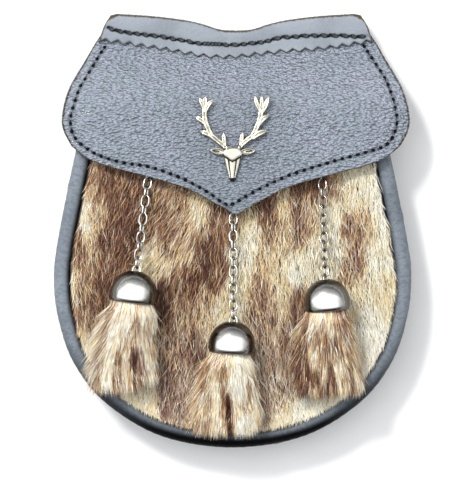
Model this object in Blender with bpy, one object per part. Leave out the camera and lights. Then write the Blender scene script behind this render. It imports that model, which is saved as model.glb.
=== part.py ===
"""A sporran pouch lying on its back, the way it rests on a table.

X runs across the pouch, Y up it towards the hinge of the flap and Z out of its front.
The origin is the middle of the outline, on the surface that the pouch lies on.
Lengths are in metres; every table below is in millimetres and is scaled by mm.
"""

import math

import bmesh
import bpy
from mathutils import Matrix, Vector

mm = 0.001
GAP = 0.3 * mm  # between pieces that touch on the real object

# ---- Outline of the pouch, seen from the front --------------------------------------------
# half width, height: from the mouth, round the belly, to the middle of the bottom
BODY_EDGE = (
    (79.5, 60.0),
    (86.7, 27.0),
    (93.4, -8.0),
    (95.0, -27.0),
    (92.6, -47.0),
    (84.6, -70.0),
    (67.6, -91.5),
    (38.0, -109.2),
    (0.0, -115.3),
)
# half width, height: from the top corner down to where the back panel joins the body's edge
BACK_SIDE = ((69.2, 109.0), (72.4, 98.0), (76.0, 80.0), (79.8, 62.0))
# half width, height of the wavy top edge, from the middle out to the corner's rounding
TOP_EDGE = (
    (0.0, 106.4),
    (8.0, 107.0),
    (17.0, 110.0),
    (27.0, 112.2),
    (44.0, 114.2),
    (63.0, 115.3),
)
# half width, height of the flap's lower edge, from its point to its rounded corner
FLAP_LOW_EDGE = (
    (0.0, 8.1),
    (10.5, 14.0),
    (24.5, 21.5),
    (38.5, 26.2),
    (52.0, 29.8),
    (69.0, 34.4),
    (79.0, 38.4),
    (86.6, 44.6),
)
# half width, height of the flap's side, from that corner up to the hinge
FLAP_SIDE = (
    (86.6, 44.6),
    (90.6, 52.2),
    (91.7, 60.0),
    (88.4, 74.5),
    (80.0, 90.5),
    (74.2, 101.5),
)
FLAP_LEAN = 1.7 * mm  # the flap and the top of the back panel sit this far to the right
LEAN_FROM, LEAN_TO = -30 * mm, 50 * mm  # heights between which the back panel takes that lean

# ---- Leather ------------------------------------------------------------------------------
BACK_THICKNESS = 2.0 * mm
BACK_INSET = 0.9 * mm  # of the back panel's edge behind the welt, below the lean
GUSSET_THICKNESS = 1.8 * mm
# millimetres inside the pouch's edge, share of the way up from the back panel
GUSSET_SECTIONS = ((3.1, 0.0), (1.5, 0.5), (3.3, 1.0))
WELT_RADIUS = 4.15 * mm
FRONT_THICKNESS = 2.0 * mm
FRONT_HEIGHT = 27.0 * mm  # of the front panel's outer face above the table, at the origin
FRONT_FALL = 0.022  # how fast that face comes down towards the mouth
FRONT_CROWN = 1.1 * mm  # and how far it bellies out, highest at BELLY_MIDDLE
BELLY_MIDDLE, BELLY_REACH = -25 * mm, 90 * mm
MOUTH_HEIGHT = 58 * mm
PANEL_MARGIN = 0.6 * mm  # between the front panel and the roll round it
FLAP_THICKNESS = 2.5 * mm
FLAP_POINT_HEIGHT = 37.6 * mm  # of the flap's underside above the table, at its point
FLAP_FALL = 0.105
FLAP_BENDS_FROM, FLAP_BENDS_TO = 60 * mm, 103 * mm
FLAP_DROOP, DROOP_FROM = 4.0 * mm, 68 * mm  # at its side edges, past this half width
STRIP_THICKNESS = 1.2 * mm
STRIP_LENGTH, STRIP_BEHIND = 14.2 * mm, 12 * mm  # down the front from the top edge, and down the back
STRIP_LIFT = 0.7 * mm  # over the bend of the flap
STRIP_DIP = 1.2 * mm  # further down in the middle
STRIP_SPREAD = 0.27  # how fast it widens below the top edge
TEETH, TOOTH_DEPTH = 23, 2.5 * mm  # of its pinked edge
# of its three rows on the flap, as shares of its length
STRIP_ROWS = (1.0, 0.7, 0.35)
# of its turn over the top edge: distance below it in millimetres, share of the way from back to front
STRIP_TURN = ((0.5, 1.0), (0.0, 0.8), (0.0, 0.2), (0.5, 0.0))
EDGE_WRAP = STRIP_THICKNESS + 2 * GAP  # from the wavy edge to the flap and back panel inside the strip
CORNER_FALL = 0.5  # slope of that edge where its corners are rounded off

# ---- Belt loops ---------------------------------------------------------------------------
LOOP_WIDTH, LOOP_THICKNESS = 22 * mm, 2.0 * mm
LOOP_OFFSET = 46 * mm  # of each loop from the middle
LOOP_LOW, LOOP_HIGH = 46 * mm, 80 * mm  # the straight run that a belt passes behind
LOOP_TAB, LOOP_BEND = 10 * mm, 5 * mm
LOOP_ROOM = 5.4 * mm  # between loop and back panel, halfway up the loop

# ---- Fur ----------------------------------------------------------------------------------
FUR_PILE, FUR_PRESSED = 5.6 * mm, 3.0 * mm  # in the open, and under the flap and the tassels
FUR_TOP = 56 * mm
LOCKS_ACROSS, LOCK_ROWS = 8, 7
DENT_INNER, DENT_OUTER = 12.5 * mm, 22 * mm  # half widths of the fur's dent under a tassel
DENT_ABOVE_RIM = 8  # millimetres above the dome's rim where that dent starts to end
LOCK_RELIEF, LOCK_VALLEY = 1.5 * mm, 0.8 * mm  # from a lock's tip down to the next root, and beside it
LOCK_SHARE, LOCK_TIP = 0.88, 0.35  # where a lock ends in its row, and how far its point reaches
FUR_SLOT = (7 * mm, 2.4 * mm, 30 * mm)  # parted for each staple

# ---- Chains and tassels -------------------------------------------------------------------
WIRE_RADIUS = 0.5 * mm
LINK_LENGTH, LINK_WIDTH = 7.1 * mm, 5.2 * mm
LINK_SLACK = 0.25 * mm
LINK_ROLL = math.radians(20)
CHAIN_CLIMB = 27 * mm  # the stretch over which a chain rises from the fur to its dome
CHAIN_POINTS = 60  # steps along the line that a chain follows
# side, chain start x, y, dome rim centre x, y, dome turned from upright in degrees, length, spread
TASSELS = (
    ("left", -44.4, 31.5, -52.9, -38.4, -7.0, 1.0, 1.0),
    ("middle", 0.4, 12.5, -0.7, -65.2, -4.0, 0.9, 0.75),
    ("right", 47.5, 31.0, 50.5, -42.9, 6.0, 0.93, 0.95),
)
DOME_RADIUS, DOME_HEIGHT, DOME_WALL = 12.2 * mm, 17.5 * mm, 0.9 * mm
DOME_HOLE, DOME_LIP = 3.3 * mm, 0.3 * mm
DOME_CLEAR = 0.8 * mm  # between the dome and the fur that it presses down
BAIL_HEIGHT, BAIL_HALF = 15.2 * mm, 2.0 * mm  # of the wire arches on the tassels and under the flap
ARCH_CORNER = 0.9 * mm
CORE_SECTIONS = (0.6, 5.3, 8.9, 11.4)  # heights above the dome's rim, in millimetres
LOCK_START = 4 * mm  # above the rim
# start across, start down, end across, end down, end below the rim
TASSEL_LOCKS = (
    (-6.4, 0.5, -19.5, 7.6, 44.0),
    (-4.6, -2.6, -13.0, 4.6, 49.0),
    (-1.6, -3.6, -5.0, 3.4, 51.5),
    (1.6, -3.6, 4.0, 3.4, 50.0),
    (4.6, -2.6, 11.6, 4.6, 51.0),
    (6.4, 0.5, 18.0, 7.6, 45.0),
    (-3.2, 4.4, -9.6, 8.6, 46.5),
    (3.2, 4.4, 8.8, 8.6, 47.5),
)
# share of a lock's length, half width, half thickness
LOCK_SECTIONS = ((0.0, 3.0, 2.3), (0.5, 4.7, 2.7), (0.92, 3.8, 1.9), (1.0, 1.6, 0.8))

# ---- Stag's head badge --------------------------------------------------------------------
BADGE_HEIGHT = 42.7 * mm  # of the stag's crown above the middle of the pouch
ANTLER_LIFT, EAR_LIFT = 2.0 * mm, 1.3 * mm  # of their middles above the badge's flat back
TINE_STAGGER = 0.12 * mm  # keeps neighbouring tines' faces from lying in one plane
# half width, height above the crown, radius
ANTLER_BEAM = (
    (3.3, -0.6, 1.25),
    (6.1, 3.4, 1.05),
    (10.1, 6.7, 1.15),
    (12.6, 10.9, 1.15),
    (14.4, 14.6, 1.05),
    (15.1, 18.0, 1.0),
    (14.9, 21.6, 1.0),
)
# root half width, root height, tip half width, tip height, widest radius
ANTLER_TINES = (
    (4.3, 1.0, 5.2, 9.1, 1.0),
    (10.6, 6.4, 17.3, 9.4, 0.95),
    (13.6, 12.6, 19.5, 17.8, 0.95),
    (15.2, 20.0, 18.8, 28.0, 1.0),
    (14.9, 20.6, 15.1, 28.6, 0.95),
    (14.6, 20.0, 11.2, 27.8, 1.0),
)
# height, half width, thickness of the head from crown to chin
HEAD_SECTIONS = (
    (0.7, 2.4, 2.0),
    (-1.4, 4.3, 3.1),
    (-4.8, 4.2, 3.5),
    (-9.5, 3.1, 3.1),
    (-14.6, 2.0, 3.3),
    (-17.0, 1.6, 2.2),
)
# half width, height, half height, thickness of an ear from root to tip
EAR_SECTIONS = ((3.6, -0.9, 0.7, 1.5), (6.4, -0.6, 1.5, 1.6), (9.2, -0.5, 1.2, 1.5), (11.8, -0.7, 0.3, 1.2))

# name: colour, roughness, metallic
FINISHES = {
    "smooth leather": ((0.13, 0.15, 0.19), 0.55, 0.0),
    "pebbled leather": ((0.15, 0.17, 0.21), 0.6, 0.0),
    "fur": ((0.45, 0.33, 0.22), 0.9, 0.0),
    "antique silver": ((0.75, 0.73, 0.68), 0.3, 1.0),
    "dark silver": ((0.45, 0.44, 0.42), 0.25, 1.0),
}


# ---- Lines ---------------------------------------------------------------------------------
def smooth_line(points, count):
    """count points, evenly spaced along a Catmull-Rom curve through the given ones."""
    p = [Vector(q) for q in points]
    p = [2 * p[0] - p[1], *p, 2 * p[-1] - p[-2]]
    fine = []
    steps = 12
    for a, b, c, d in zip(p, p[1:], p[2:], p[3:]):
        for i in range(steps):
            t = i / steps
            fine.append(
                0.5
                * (2 * b + (c - a) * t + (2 * a - 5 * b + 4 * c - d) * t**2 + (3 * b - a - 3 * c + d) * t**3)
            )
    fine.append(p[-2])
    return even(fine, count)


def even(line, count):
    """The same line with count points at equal steps."""
    far = [0.0]
    for a, b in zip(line, line[1:]):
        far.append(far[-1] + (b - a).length)
    found, k = [], 0
    for i in range(count):
        want = far[-1] * i / (count - 1)
        while k < len(far) - 2 and far[k + 1] < want:
            k += 1
        found.append(line[k].lerp(line[k + 1], (want - far[k]) / (far[k + 1] - far[k])))
    return found


def in_mm(table):
    return [tuple(v * mm for v in row) for row in table]


def both_sides(half):
    """A line from the left end of half's mirror image to half's right end; half starts at the outer end."""
    return [(-x, y) for x, y in half] + [(x, y) for x, y in reversed(half[:-1])]


def inset(line, distance):
    """The line moved to its left by distance, which is inwards on one that runs anticlockwise."""
    moved = []
    for i, p in enumerate(line):
        along = (line[min(i + 1, len(line) - 1)] - line[max(i - 1, 0)]).normalized()
        moved.append(p + Vector((-along.y, along.x)) * distance)
    return moved


def body_line(count, distance=0.0):
    """The pouch's edge from the left of the mouth round the bottom to the right of the mouth."""
    return inset(smooth_line(both_sides(in_mm(BODY_EDGE)), count), distance)


def between(table, x):
    """y of a table of x, y rows in millimetres, at x, in metres, read along straight lines."""
    rows = sorted(in_mm(table))
    x = min(max(abs(x), rows[0][0]), rows[-1][0])
    for (x0, y0), (x1, y1) in zip(rows, rows[1:]):
        if x <= x1:
            return y0 + (y1 - y0) * (x - x0) / (x1 - x0)
    return rows[-1][1]


def ease(t):
    t = min(max(t, 0.0), 1.0)
    return t * t * (3 - 2 * t)


def patch(bottom, top, left, right):
    """Rows of points that fill the space between four lines: bottom and top run right, left and right up."""
    rows = []
    across, up = len(bottom) - 1, len(left) - 1
    for j in range(up + 1):
        v = j / up
        row = []
        for i in range(across + 1):
            u = i / across
            corners = (bottom[0] * (1 - u) + bottom[-1] * u) * (1 - v) + (top[0] * (1 - u) + top[-1] * u) * v
            row.append(bottom[i] * (1 - v) + top[i] * v + left[j] * (1 - u) + right[j] * u - corners)
        rows.append(row)
    return rows


# ---- Heights above the table --------------------------------------------------------------
BODY_BOTTOM = BODY_EDGE[-1][1] * mm + BACK_INSET
LOOP_MIDDLE = (LOOP_LOW + LOOP_HIGH) / 2
BACK_SLOPE = (LOOP_THICKNESS + LOOP_ROOM) / (LOOP_MIDDLE - BODY_BOTTOM)


def back_z(y):
    """The back panel's outer face, which the belt loops hold off the table towards the top."""
    return BACK_SLOPE * (y - BODY_BOTTOM)


def front_z(y):
    """The front panel's outer face."""
    return FRONT_HEIGHT - FRONT_FALL * y - FRONT_CROWN * ((y - BELLY_MIDDLE) / BELLY_REACH) ** 2


def welt_z(y):
    return front_z(y) - FRONT_THICKNESS / 2


def flap_z(x, y):
    """The flap's underside: a slope over the front that bends down to the back panel at the hinge."""
    front = FLAP_POINT_HEIGHT - FLAP_FALL * (y - FLAP_LOW_EDGE[0][1] * mm)
    sewn = back_z(y) + BACK_THICKNESS + GAP
    bent = ease((y - FLAP_BENDS_FROM) / (FLAP_BENDS_TO - FLAP_BENDS_FROM))
    past = max(0.0, abs(x - FLAP_LEAN) - DROOP_FROM) / (FLAP_SIDE[2][0] * mm - DROOP_FROM)
    return front + (sewn - front) * bent - FLAP_DROOP * past**2 * (1 - bent)


def fur_pile(x, y):
    """How deep the fur stands: short where the flap or a tassel presses on it."""
    free = ease((between(FLAP_LOW_EDGE, x) + 2 * mm - y) / (14 * mm))
    for _, _, _, rim_x, rim_y, *_ in TASSELS:
        high = (rim_y + DENT_ABOVE_RIM) * mm
        beyond = Vector((x - rim_x * mm, max(0.0, y - high)))
        free = min(free, ease((beyond.length - DENT_INNER) / (DENT_OUTER - DENT_INNER)))
    return FUR_PRESSED + (FUR_PILE - FUR_PRESSED) * free


def lean(y):
    return FLAP_LEAN * ease((y - LEAN_FROM) / (LEAN_TO - LEAN_FROM))


# ---- Making solids -------------------------------------------------------------------------
def finish(name):
    material = bpy.data.materials.get(name)
    if material is None:
        colour, roughness, metallic = FINISHES[name]
        material = bpy.data.materials.new(name)
        material.use_nodes = True
        surface = material.node_tree.nodes["Principled BSDF"]
        surface.inputs["Base Color"].default_value = (*colour, 1)
        surface.inputs["Roughness"].default_value = roughness
        surface.inputs["Metallic"].default_value = metallic
    return material


def add(name, mesh, material):
    """An object of that mesh, in the scene."""
    made = bpy.data.objects.new(name, mesh)
    if not mesh.materials:
        mesh.materials.append(finish(material))
    bpy.context.collection.objects.link(made)
    return made


def to_mesh(bm, name, smooth=True):
    bmesh.ops.recalc_face_normals(bm, faces=bm.faces)
    mesh = bpy.data.meshes.new(name)
    bm.to_mesh(mesh)
    bm.free()
    if smooth:
        mesh.shade_smooth()
        mesh.set_sharp_from_angle(angle=math.radians(40))
    return mesh


def sheet(name, rows, material, thickness, away=1):
    """A sheet through rows of points, thickened on its upper side if away is 1 and below if it is -1."""
    bm = bmesh.new()
    made = [[bm.verts.new(p) for p in row] for row in rows]
    for low, high in zip(made, made[1:]):
        for i in range(len(low) - 1):
            bm.faces.new((low[i], low[i + 1], high[i + 1], high[i]))
    mesh = bpy.data.meshes.new(name)
    bm.to_mesh(mesh)
    bm.free()
    return thickened(add(name, mesh, material), thickness, away)


def thickened(made, thickness, away):
    wall = made.modifiers.new("wall", "SOLIDIFY")
    wall.thickness, wall.offset = thickness, away
    wall.use_even_offset = True
    return made


def loft(bm, rings, ring_closes=False):
    """Joins rings of equal size with faces and caps both ends, or joins the last ring to the first."""
    made = [[bm.verts.new(p) for p in ring] for ring in rings]
    pairs = list(zip(made, made[1:]))
    if ring_closes:
        pairs.append((made[-1], made[0]))
    for a, b in pairs:
        for i in range(len(a)):
            j = (i + 1) % len(a)
            bm.faces.new((a[i], a[j], b[j], b[i]))
    if not ring_closes:
        bm.faces.new(reversed(made[0]))
        bm.faces.new(made[-1])


def section(centre, across, up, half_width, half_height, sides):
    """A ring round centre, in the plane of across and up."""
    turns = [2 * math.pi * k / sides for k in range(sides)]
    return [centre + across * (half_width * math.cos(a)) + up * (half_height * math.sin(a)) for a in turns]


def tapered_rod(bm, line, radii, sides, flat=1.0):
    """A rod through a line of points in or near the XY plane; flat squeezes it along Z."""
    rings = []
    for i, p in enumerate(line):
        along = (line[min(i + 1, len(line) - 1)] - line[max(i - 1, 0)]).normalized()
        across = along.cross(Vector((0, 0, 1))).normalized()
        rings.append(section(p, across, across.cross(along), radii[i], radii[i] * flat, sides))
    loft(bm, rings)


def union(name, meshes, material):
    """One solid of several meshes that overlap."""
    first, *others = [add(name if i == 0 else f"{name}_join_{i}", m, material) for i, m in enumerate(meshes)]
    for other in others:
        other.hide_render = True
        other.display_type = "WIRE"
        other.parent = first
        join = first.modifiers.new(other.name, "BOOLEAN")
        join.operation, join.object = "UNION", other
    return first


# ---- Leather body --------------------------------------------------------------------------
def back_panel():
    """One board of leather: the body's shape below, narrowing to the wavy top edge."""
    top = [Vector(p) for p in both_sides(list(reversed(in_mm(TOP_EDGE))))]
    top = inset(smooth_line(top, 25), -EDGE_WRAP)
    side = smooth_line(list(reversed(in_mm(BACK_SIDE))), 5)
    left = [Vector((-p.x, p.y)) for p in side]
    edge = body_line(41, BACK_INSET)
    outline = [*edge, *side, *reversed(top), *reversed(left)]
    bm = bmesh.new()
    face = bm.faces.new([bm.verts.new((p.x + lean(p.y), p.y, back_z(p.y))) for p in outline])
    grown = bmesh.ops.extrude_face_region(bm, geom=[face])
    rise = Vector((0, 0, BACK_THICKNESS))
    bmesh.ops.translate(bm, vec=rise, verts=[v for v in grown["geom"] if isinstance(v, bmesh.types.BMVert)])
    add("back_panel", to_mesh(bm, "back_panel"), "smooth leather")


def gusset():
    """The wall from the back panel to the welt, bellied outwards."""
    rows = []
    for inside, share in GUSSET_SECTIONS:
        row = []
        for p in body_line(31, inside * mm):
            low = back_z(p.y) + BACK_THICKNESS + GAP
            high = welt_z(p.y) - WELT_RADIUS - GAP
            row.append(Vector((p.x, p.y, low + (high - low) * share)))
        rows.append(row)
    sheet("gusset", rows, "smooth leather", GUSSET_THICKNESS, -1)


def front_welt():
    """The stuffed leather roll round the front."""
    curve = bpy.data.curves.new("front_welt", "CURVE")
    curve.dimensions = "3D"
    curve.bevel_depth, curve.bevel_resolution = WELT_RADIUS, 2
    curve.use_fill_caps = True
    line = body_line(35, WELT_RADIUS)
    spline = curve.splines.new("POLY")
    spline.points.add(len(line) - 1)
    for point, p in zip(spline.points, line):
        point.co = (p.x, p.y, welt_z(p.y), 1)
    add("front_welt", curve, "smooth leather")


def front_rows(across, up, top_height, distance):
    """Rows of points over the front, inside the welt, from the bottom up to top_height."""
    line = body_line(97, 2 * WELT_RADIUS + distance)
    corner = 32  # of 97 points, where the side turns into the bottom
    left = [p for p in line[:corner] if p.y < top_height] + [line[corner]]
    left = [Vector((between_line(line[:corner], top_height), top_height)), *left]
    left = list(reversed(even(left, up + 1)))
    right = [Vector((-p.x, p.y)) for p in left]
    bottom = even(line[corner : len(line) - corner], across + 1)
    top = [left[-1].lerp(right[-1], i / across) for i in range(across + 1)]
    return patch(bottom, top, left, right)


def between_line(line, y):
    """x where a line that runs down passes height y."""
    for a, b in zip(line, line[1:]):
        if b.y <= y:
            return a.x + (b.x - a.x) * (a.y - y) / (a.y - b.y)
    return line[-1].x


def front_panel():
    """The leather wall that the fur is sewn to."""
    rows = front_rows(6, 8, MOUTH_HEIGHT, PANEL_MARGIN)
    rows = [[Vector((p.x, p.y, front_z(p.y))) for p in row] for row in rows]
    sheet("front_panel", rows, "smooth leather", FRONT_THICKNESS, -1)


def fur_front():
    """The pelt, as staggered rows of locks that point down, each row lapping over the next."""
    columns = 2 * LOCKS_ACROSS
    fine = 6  # points of the patch for each row of locks
    rows = front_rows(columns, fine * LOCK_ROWS, FUR_TOP, PANEL_MARGIN)
    rows.reverse()

    def flat_row(row, raised):
        """Where a row of locks starts, or ends with raised tips, on the front panel."""
        if (row == 0 and not raised) or (row == LOCK_ROWS - 1 and raised):
            return rows[-1 if raised else 0]
        found = []
        for column in range(columns + 1):
            point = LOCK_TIP * ((column + row + raised + 1) % 2 - 0.5)
            v = max((row + (LOCK_SHARE if raised else 0) + point) * fine, 0)
            k = min(int(v), fine * LOCK_ROWS - 1)
            found.append(rows[k][column].lerp(rows[k + 1][column], v - k))
        return found

    def lifted(p, column, row, raised):
        low = (0 if raised else LOCK_RELIEF) + (0 if (column + row) % 2 else LOCK_VALLEY)
        beside = ease((1 - abs(2 * column / columns - 1)) * 4)
        return Vector((p.x, p.y, front_z(p.y) + GAP + (fur_pile(p.x, p.y) - low) * (0.4 + 0.6 * beside)))

    top, bottom = [], []
    for row in range(LOCK_ROWS):
        for raised in (False, True):
            flat = flat_row(row, raised)
            top.append([lifted(p, c, row, raised) for c, p in enumerate(flat)])
            bottom.append([Vector((p.x, p.y, front_z(p.y) + GAP)) for p in flat])
    bm = bmesh.new()
    rims = []
    for side in (top, bottom):
        made = [[bm.verts.new(p) for p in row] for row in side]
        for low, high in zip(made, made[1:]):
            for i in range(columns):
                bm.faces.new((low[i], low[i + 1], high[i + 1], high[i]))
        ends = made[1:-1]
        rims.append(made[0] + [r[-1] for r in ends] + made[-1][::-1] + [r[0] for r in reversed(ends)])
    around = [bm.edges.get(pair) for rim in rims for pair in zip(rim, rim[1:] + rim[:1])]
    bmesh.ops.bridge_loops(bm, edges=around)
    made = add("fur_front", to_mesh(bm, "fur_front", smooth=False), "fur")
    for side, x, y, *_ in TASSELS:
        bm = bmesh.new()
        bmesh.ops.create_cube(bm, size=1, matrix=Matrix.Diagonal((*FUR_SLOT, 1)))
        slot = add(f"fur_slot_{side}", to_mesh(bm, "slot", smooth=False), "fur")
        slot.location = (x * mm, y * mm, FRONT_HEIGHT)
        slot.hide_render = True
        slot.display_type = "WIRE"
        cut = made.modifiers.new(slot.name, "BOOLEAN")
        cut.operation, cut.object = "DIFFERENCE", slot


# ---- Flap ---------------------------------------------------------------------------------
def flap():
    """Pebbled leather, pointed below, bent down over the mouth to the top edge."""
    low = [Vector(p) for p in in_mm(FLAP_LOW_EDGE)]
    half = smooth_line(low, 9)
    bottom = [Vector((-p.x, p.y)) for p in reversed(half)] + half[1:]
    right = smooth_line([*in_mm(FLAP_SIDE), in_mm(BACK_SIDE)[0]], 15)
    left = [Vector((-p.x, p.y)) for p in right]
    edge = top_edge()
    top = even([left[-1], right[-1]], len(bottom))
    for p in top:
        p.y = edge(p.x) - EDGE_WRAP
    left[-1], right[-1] = top[0], top[-1]
    rows = patch(bottom, top, left, right)
    rows = [[Vector((p.x + FLAP_LEAN, p.y, flap_z(p.x + FLAP_LEAN, p.y))) for p in row] for row in rows]
    sheet("flap", rows, "pebbled leather", FLAP_THICKNESS, 1)


def top_edge():
    """Height of the wavy top edge at x, with its corners rounded off."""
    line = smooth_line(in_mm(TOP_EDGE), 60)

    def height(x):
        x = abs(x)
        for a, b in zip(line, line[1:]):
            if x <= b.x:
                return a.y + (b.y - a.y) * (x - a.x) / (b.x - a.x)
        return line[-1].y - (x - line[-1].x) * CORNER_FALL

    return height


def hinge_strip():
    """Smooth leather from the pinked edge on the flap, over the top edge, to the back."""
    edge = top_edge()
    layers = BACK_THICKNESS + FLAP_THICKNESS + 3.5 * GAP
    half_top = (BACK_SIDE[0][0] - 1) * mm
    rows = [[] for _ in range(len(STRIP_ROWS) + len(STRIP_TURN) + 1)]
    for i in range(TEETH + 1):
        u = 2 * i / TEETH - 1
        high = edge(u * half_top) - STRIP_THICKNESS

        def place(row, y, z):
            x = u * (half_top + (high - y) * STRIP_SPREAD) + FLAP_LEAN
            rows[row].append(Vector((x, y, z)))

        for row, share in enumerate(STRIP_ROWS):
            y = high - share * (STRIP_LENGTH + (1 - abs(u)) * STRIP_DIP)
            place(row, y, flap_z(0, y) + FLAP_THICKNESS + STRIP_LIFT)
        for row, (down, share) in enumerate(STRIP_TURN, len(STRIP_ROWS)):
            place(row, high - down * mm, back_z(high) - GAP + layers * share)
        y = high - STRIP_BEHIND
        place(-1, y, back_z(y) - GAP)
    bm = bmesh.new()
    made = [[bm.verts.new(p) for p in row] for row in rows]
    for low, high in zip(made[1:], made[2:]):
        for i in range(TEETH):
            bm.faces.new((low[i], low[i + 1], high[i + 1], high[i]))
    for i in range(TEETH):
        a, b = made[0][i], made[0][i + 1]
        notch = (a.co + b.co) / 2 + Vector((0, TOOTH_DEPTH, 0))
        notch.z = flap_z(0, notch.y) + FLAP_THICKNESS + STRIP_LIFT
        bm.faces.new((a, bm.verts.new(notch), b, made[1][i + 1], made[1][i]))
    mesh = bpy.data.meshes.new("hinge_strip")
    bm.to_mesh(mesh)
    bm.free()
    thickened(add("hinge_strip", mesh, "smooth leather"), STRIP_THICKNESS, 1)


def belt_loops():
    """Two flat straps behind the top, each sewn down at both ends, for a belt to pass behind."""
    sewn = [LOOP_LOW - LOOP_BEND - LOOP_TAB, LOOP_LOW - LOOP_BEND]
    sewn += [LOOP_HIGH + LOOP_BEND, LOOP_HIGH + LOOP_BEND + LOOP_TAB]
    line = [(y, back_z(y) - GAP) for y in sewn]
    line[2:2] = [(LOOP_LOW, LOOP_THICKNESS), (LOOP_HIGH, LOOP_THICKNESS)]
    for side, x in (("left", -LOOP_OFFSET), ("right", LOOP_OFFSET)):
        rows = []
        for across in (x - LOOP_WIDTH / 2, x + LOOP_WIDTH / 2):
            rows.append([Vector((across, y, z)) for y, z in line])
        sheet(f"belt_loop_{side}", rows, "smooth leather", LOOP_THICKNESS, 1)


# ---- Chains and tassels -------------------------------------------------------------------
def link_mesh():
    """A long oval of round wire."""
    half_width = LINK_WIDTH / 2 - WIRE_RADIUS
    straight = LINK_LENGTH / 2 - WIRE_RADIUS - half_width
    rings = []
    for k in range(10):
        turn = math.pi * (k % 5 / 4 + k // 5)
        out = Vector((math.cos(turn), math.sin(turn), 0))
        end = Vector((0, straight if k < 5 else -straight, 0))
        rings.append(section(end + out * half_width, out, Vector((0, 0, 1)), WIRE_RADIUS, WIRE_RADIUS, 5))
    bm = bmesh.new()
    loft(bm, rings, ring_closes=True)
    return to_mesh(bm, "link")


def chain(side, start, finish_at, mesh):
    """Links from the staple at start, down over the fur and up to the bail of the dome."""
    inner = LINK_LENGTH - 4 * WIRE_RADIUS
    first = inner / 2 - WIRE_RADIUS - LINK_SLACK
    run = Vector((finish_at.x - start.x, finish_at.y - start.y, 0))
    line = []
    for k in range(CHAIN_POINTS + 1):
        t = k / CHAIN_POINTS
        p = start + run * t
        low = front_z(p.y) + GAP + fur_pile(p.x, p.y) + LINK_WIDTH / 2 + GAP
        climbed = ease(1 - run.length * (1 - t) / CHAIN_CLIMB)
        line.append(Vector((p.x, p.y, low + (finish_at.z - low) * climbed)))
    line[0].z = start.z
    length = sum((b - a).length for a, b in zip(line, line[1:]))
    count = round((length - 2 * first) / (inner - LINK_SLACK)) + 1
    fine = even(line, 30 * CHAIN_POINTS + 1)
    step = (length - 2 * first) / (count - 1)
    centres = [fine[round((first + i * step) / length * 30 * CHAIN_POINTS)] for i in range(count)]
    axes = []
    for i, p in enumerate(centres):
        before = centres[i - 1] if i else start
        after = centres[i + 1] if i < count - 1 else finish_at
        axes.append((after - before).normalized())
    for i, (p, along) in enumerate(zip(centres, axes)):
        across = along.cross(Vector((0, 0, 1))).normalized()
        roll = LINK_ROLL + math.pi / 2 * ((i + 1) % 2)
        across = Matrix.Rotation(roll, 3, along) @ across
        made = add(f"link_{side}_{i + 1:02d}", mesh, "antique silver")
        turned = Matrix((across, along, across.cross(along))).transposed()
        made.matrix_world = Matrix.Translation(p) @ turned.to_4x4()
    return roll


def arch(bm, top, foot, half_span):
    """A wire arch in the XZ plane, from feet at z foot up to its middle at z top."""
    shape = [(-half_span, foot), (-half_span, top - ARCH_CORNER), (-half_span + ARCH_CORNER, top)]
    shape += [(-x, z) for x, z in reversed(shape)]
    rings = []
    for i, (x, z) in enumerate(shape):
        a, b = Vector(shape[max(i - 1, 0)]), Vector(shape[min(i + 1, 5)])
        along = (b - a).normalized()
        out = Vector((-along.y, 0, along.x))
        rings.append(section(Vector((x, 0, z)), out, Vector((0, 1, 0)), WIRE_RADIUS, WIRE_RADIUS, 5))
    loft(bm, rings)


def staple(side, start):
    """The wire arch on the front panel that the top of a chain hangs from."""
    bm = bmesh.new()
    arch(bm, 0, front_z(start.y) + GAP - start.z, BAIL_HALF)
    made = add(f"staple_{side}", to_mesh(bm, "staple"), "antique silver")
    made.location = start


def dome(side, frame):
    """A thin spun cap with a hole in its crown."""
    inner = DOME_RADIUS - DOME_WALL
    base = DOME_HEIGHT - DOME_RADIUS
    hole = math.asin(DOME_HOLE / DOME_RADIUS)
    turns = [math.pi / 2 - (math.pi / 2 - hole) * k / 4 for k in range(4, -1, -1)]
    outer = [(DOME_RADIUS * math.sin(a), base + DOME_RADIUS * math.cos(a)) for a in turns]
    outer += [(DOME_RADIUS, base * 0.25), (DOME_RADIUS + DOME_LIP, 0)]
    hole = math.asin(DOME_HOLE / inner)
    turns = [hole + (math.pi / 2 - hole) * k / 4 for k in range(4, -1, -1)]
    lining = [(inner, 0)] + [(inner * math.sin(a), base + inner * math.cos(a)) for a in turns]
    bm = bmesh.new()
    across, up = Vector((1, 0, 0)), Vector((0, 1, 0))
    rings = [section(Vector((0, 0, z)), across, up, r, r, 16) for r, z in outer + lining]
    loft(bm, rings, ring_closes=True)
    made = add(f"dome_{side}", to_mesh(bm, "dome"), "dark silver")
    made.parent = frame


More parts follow.
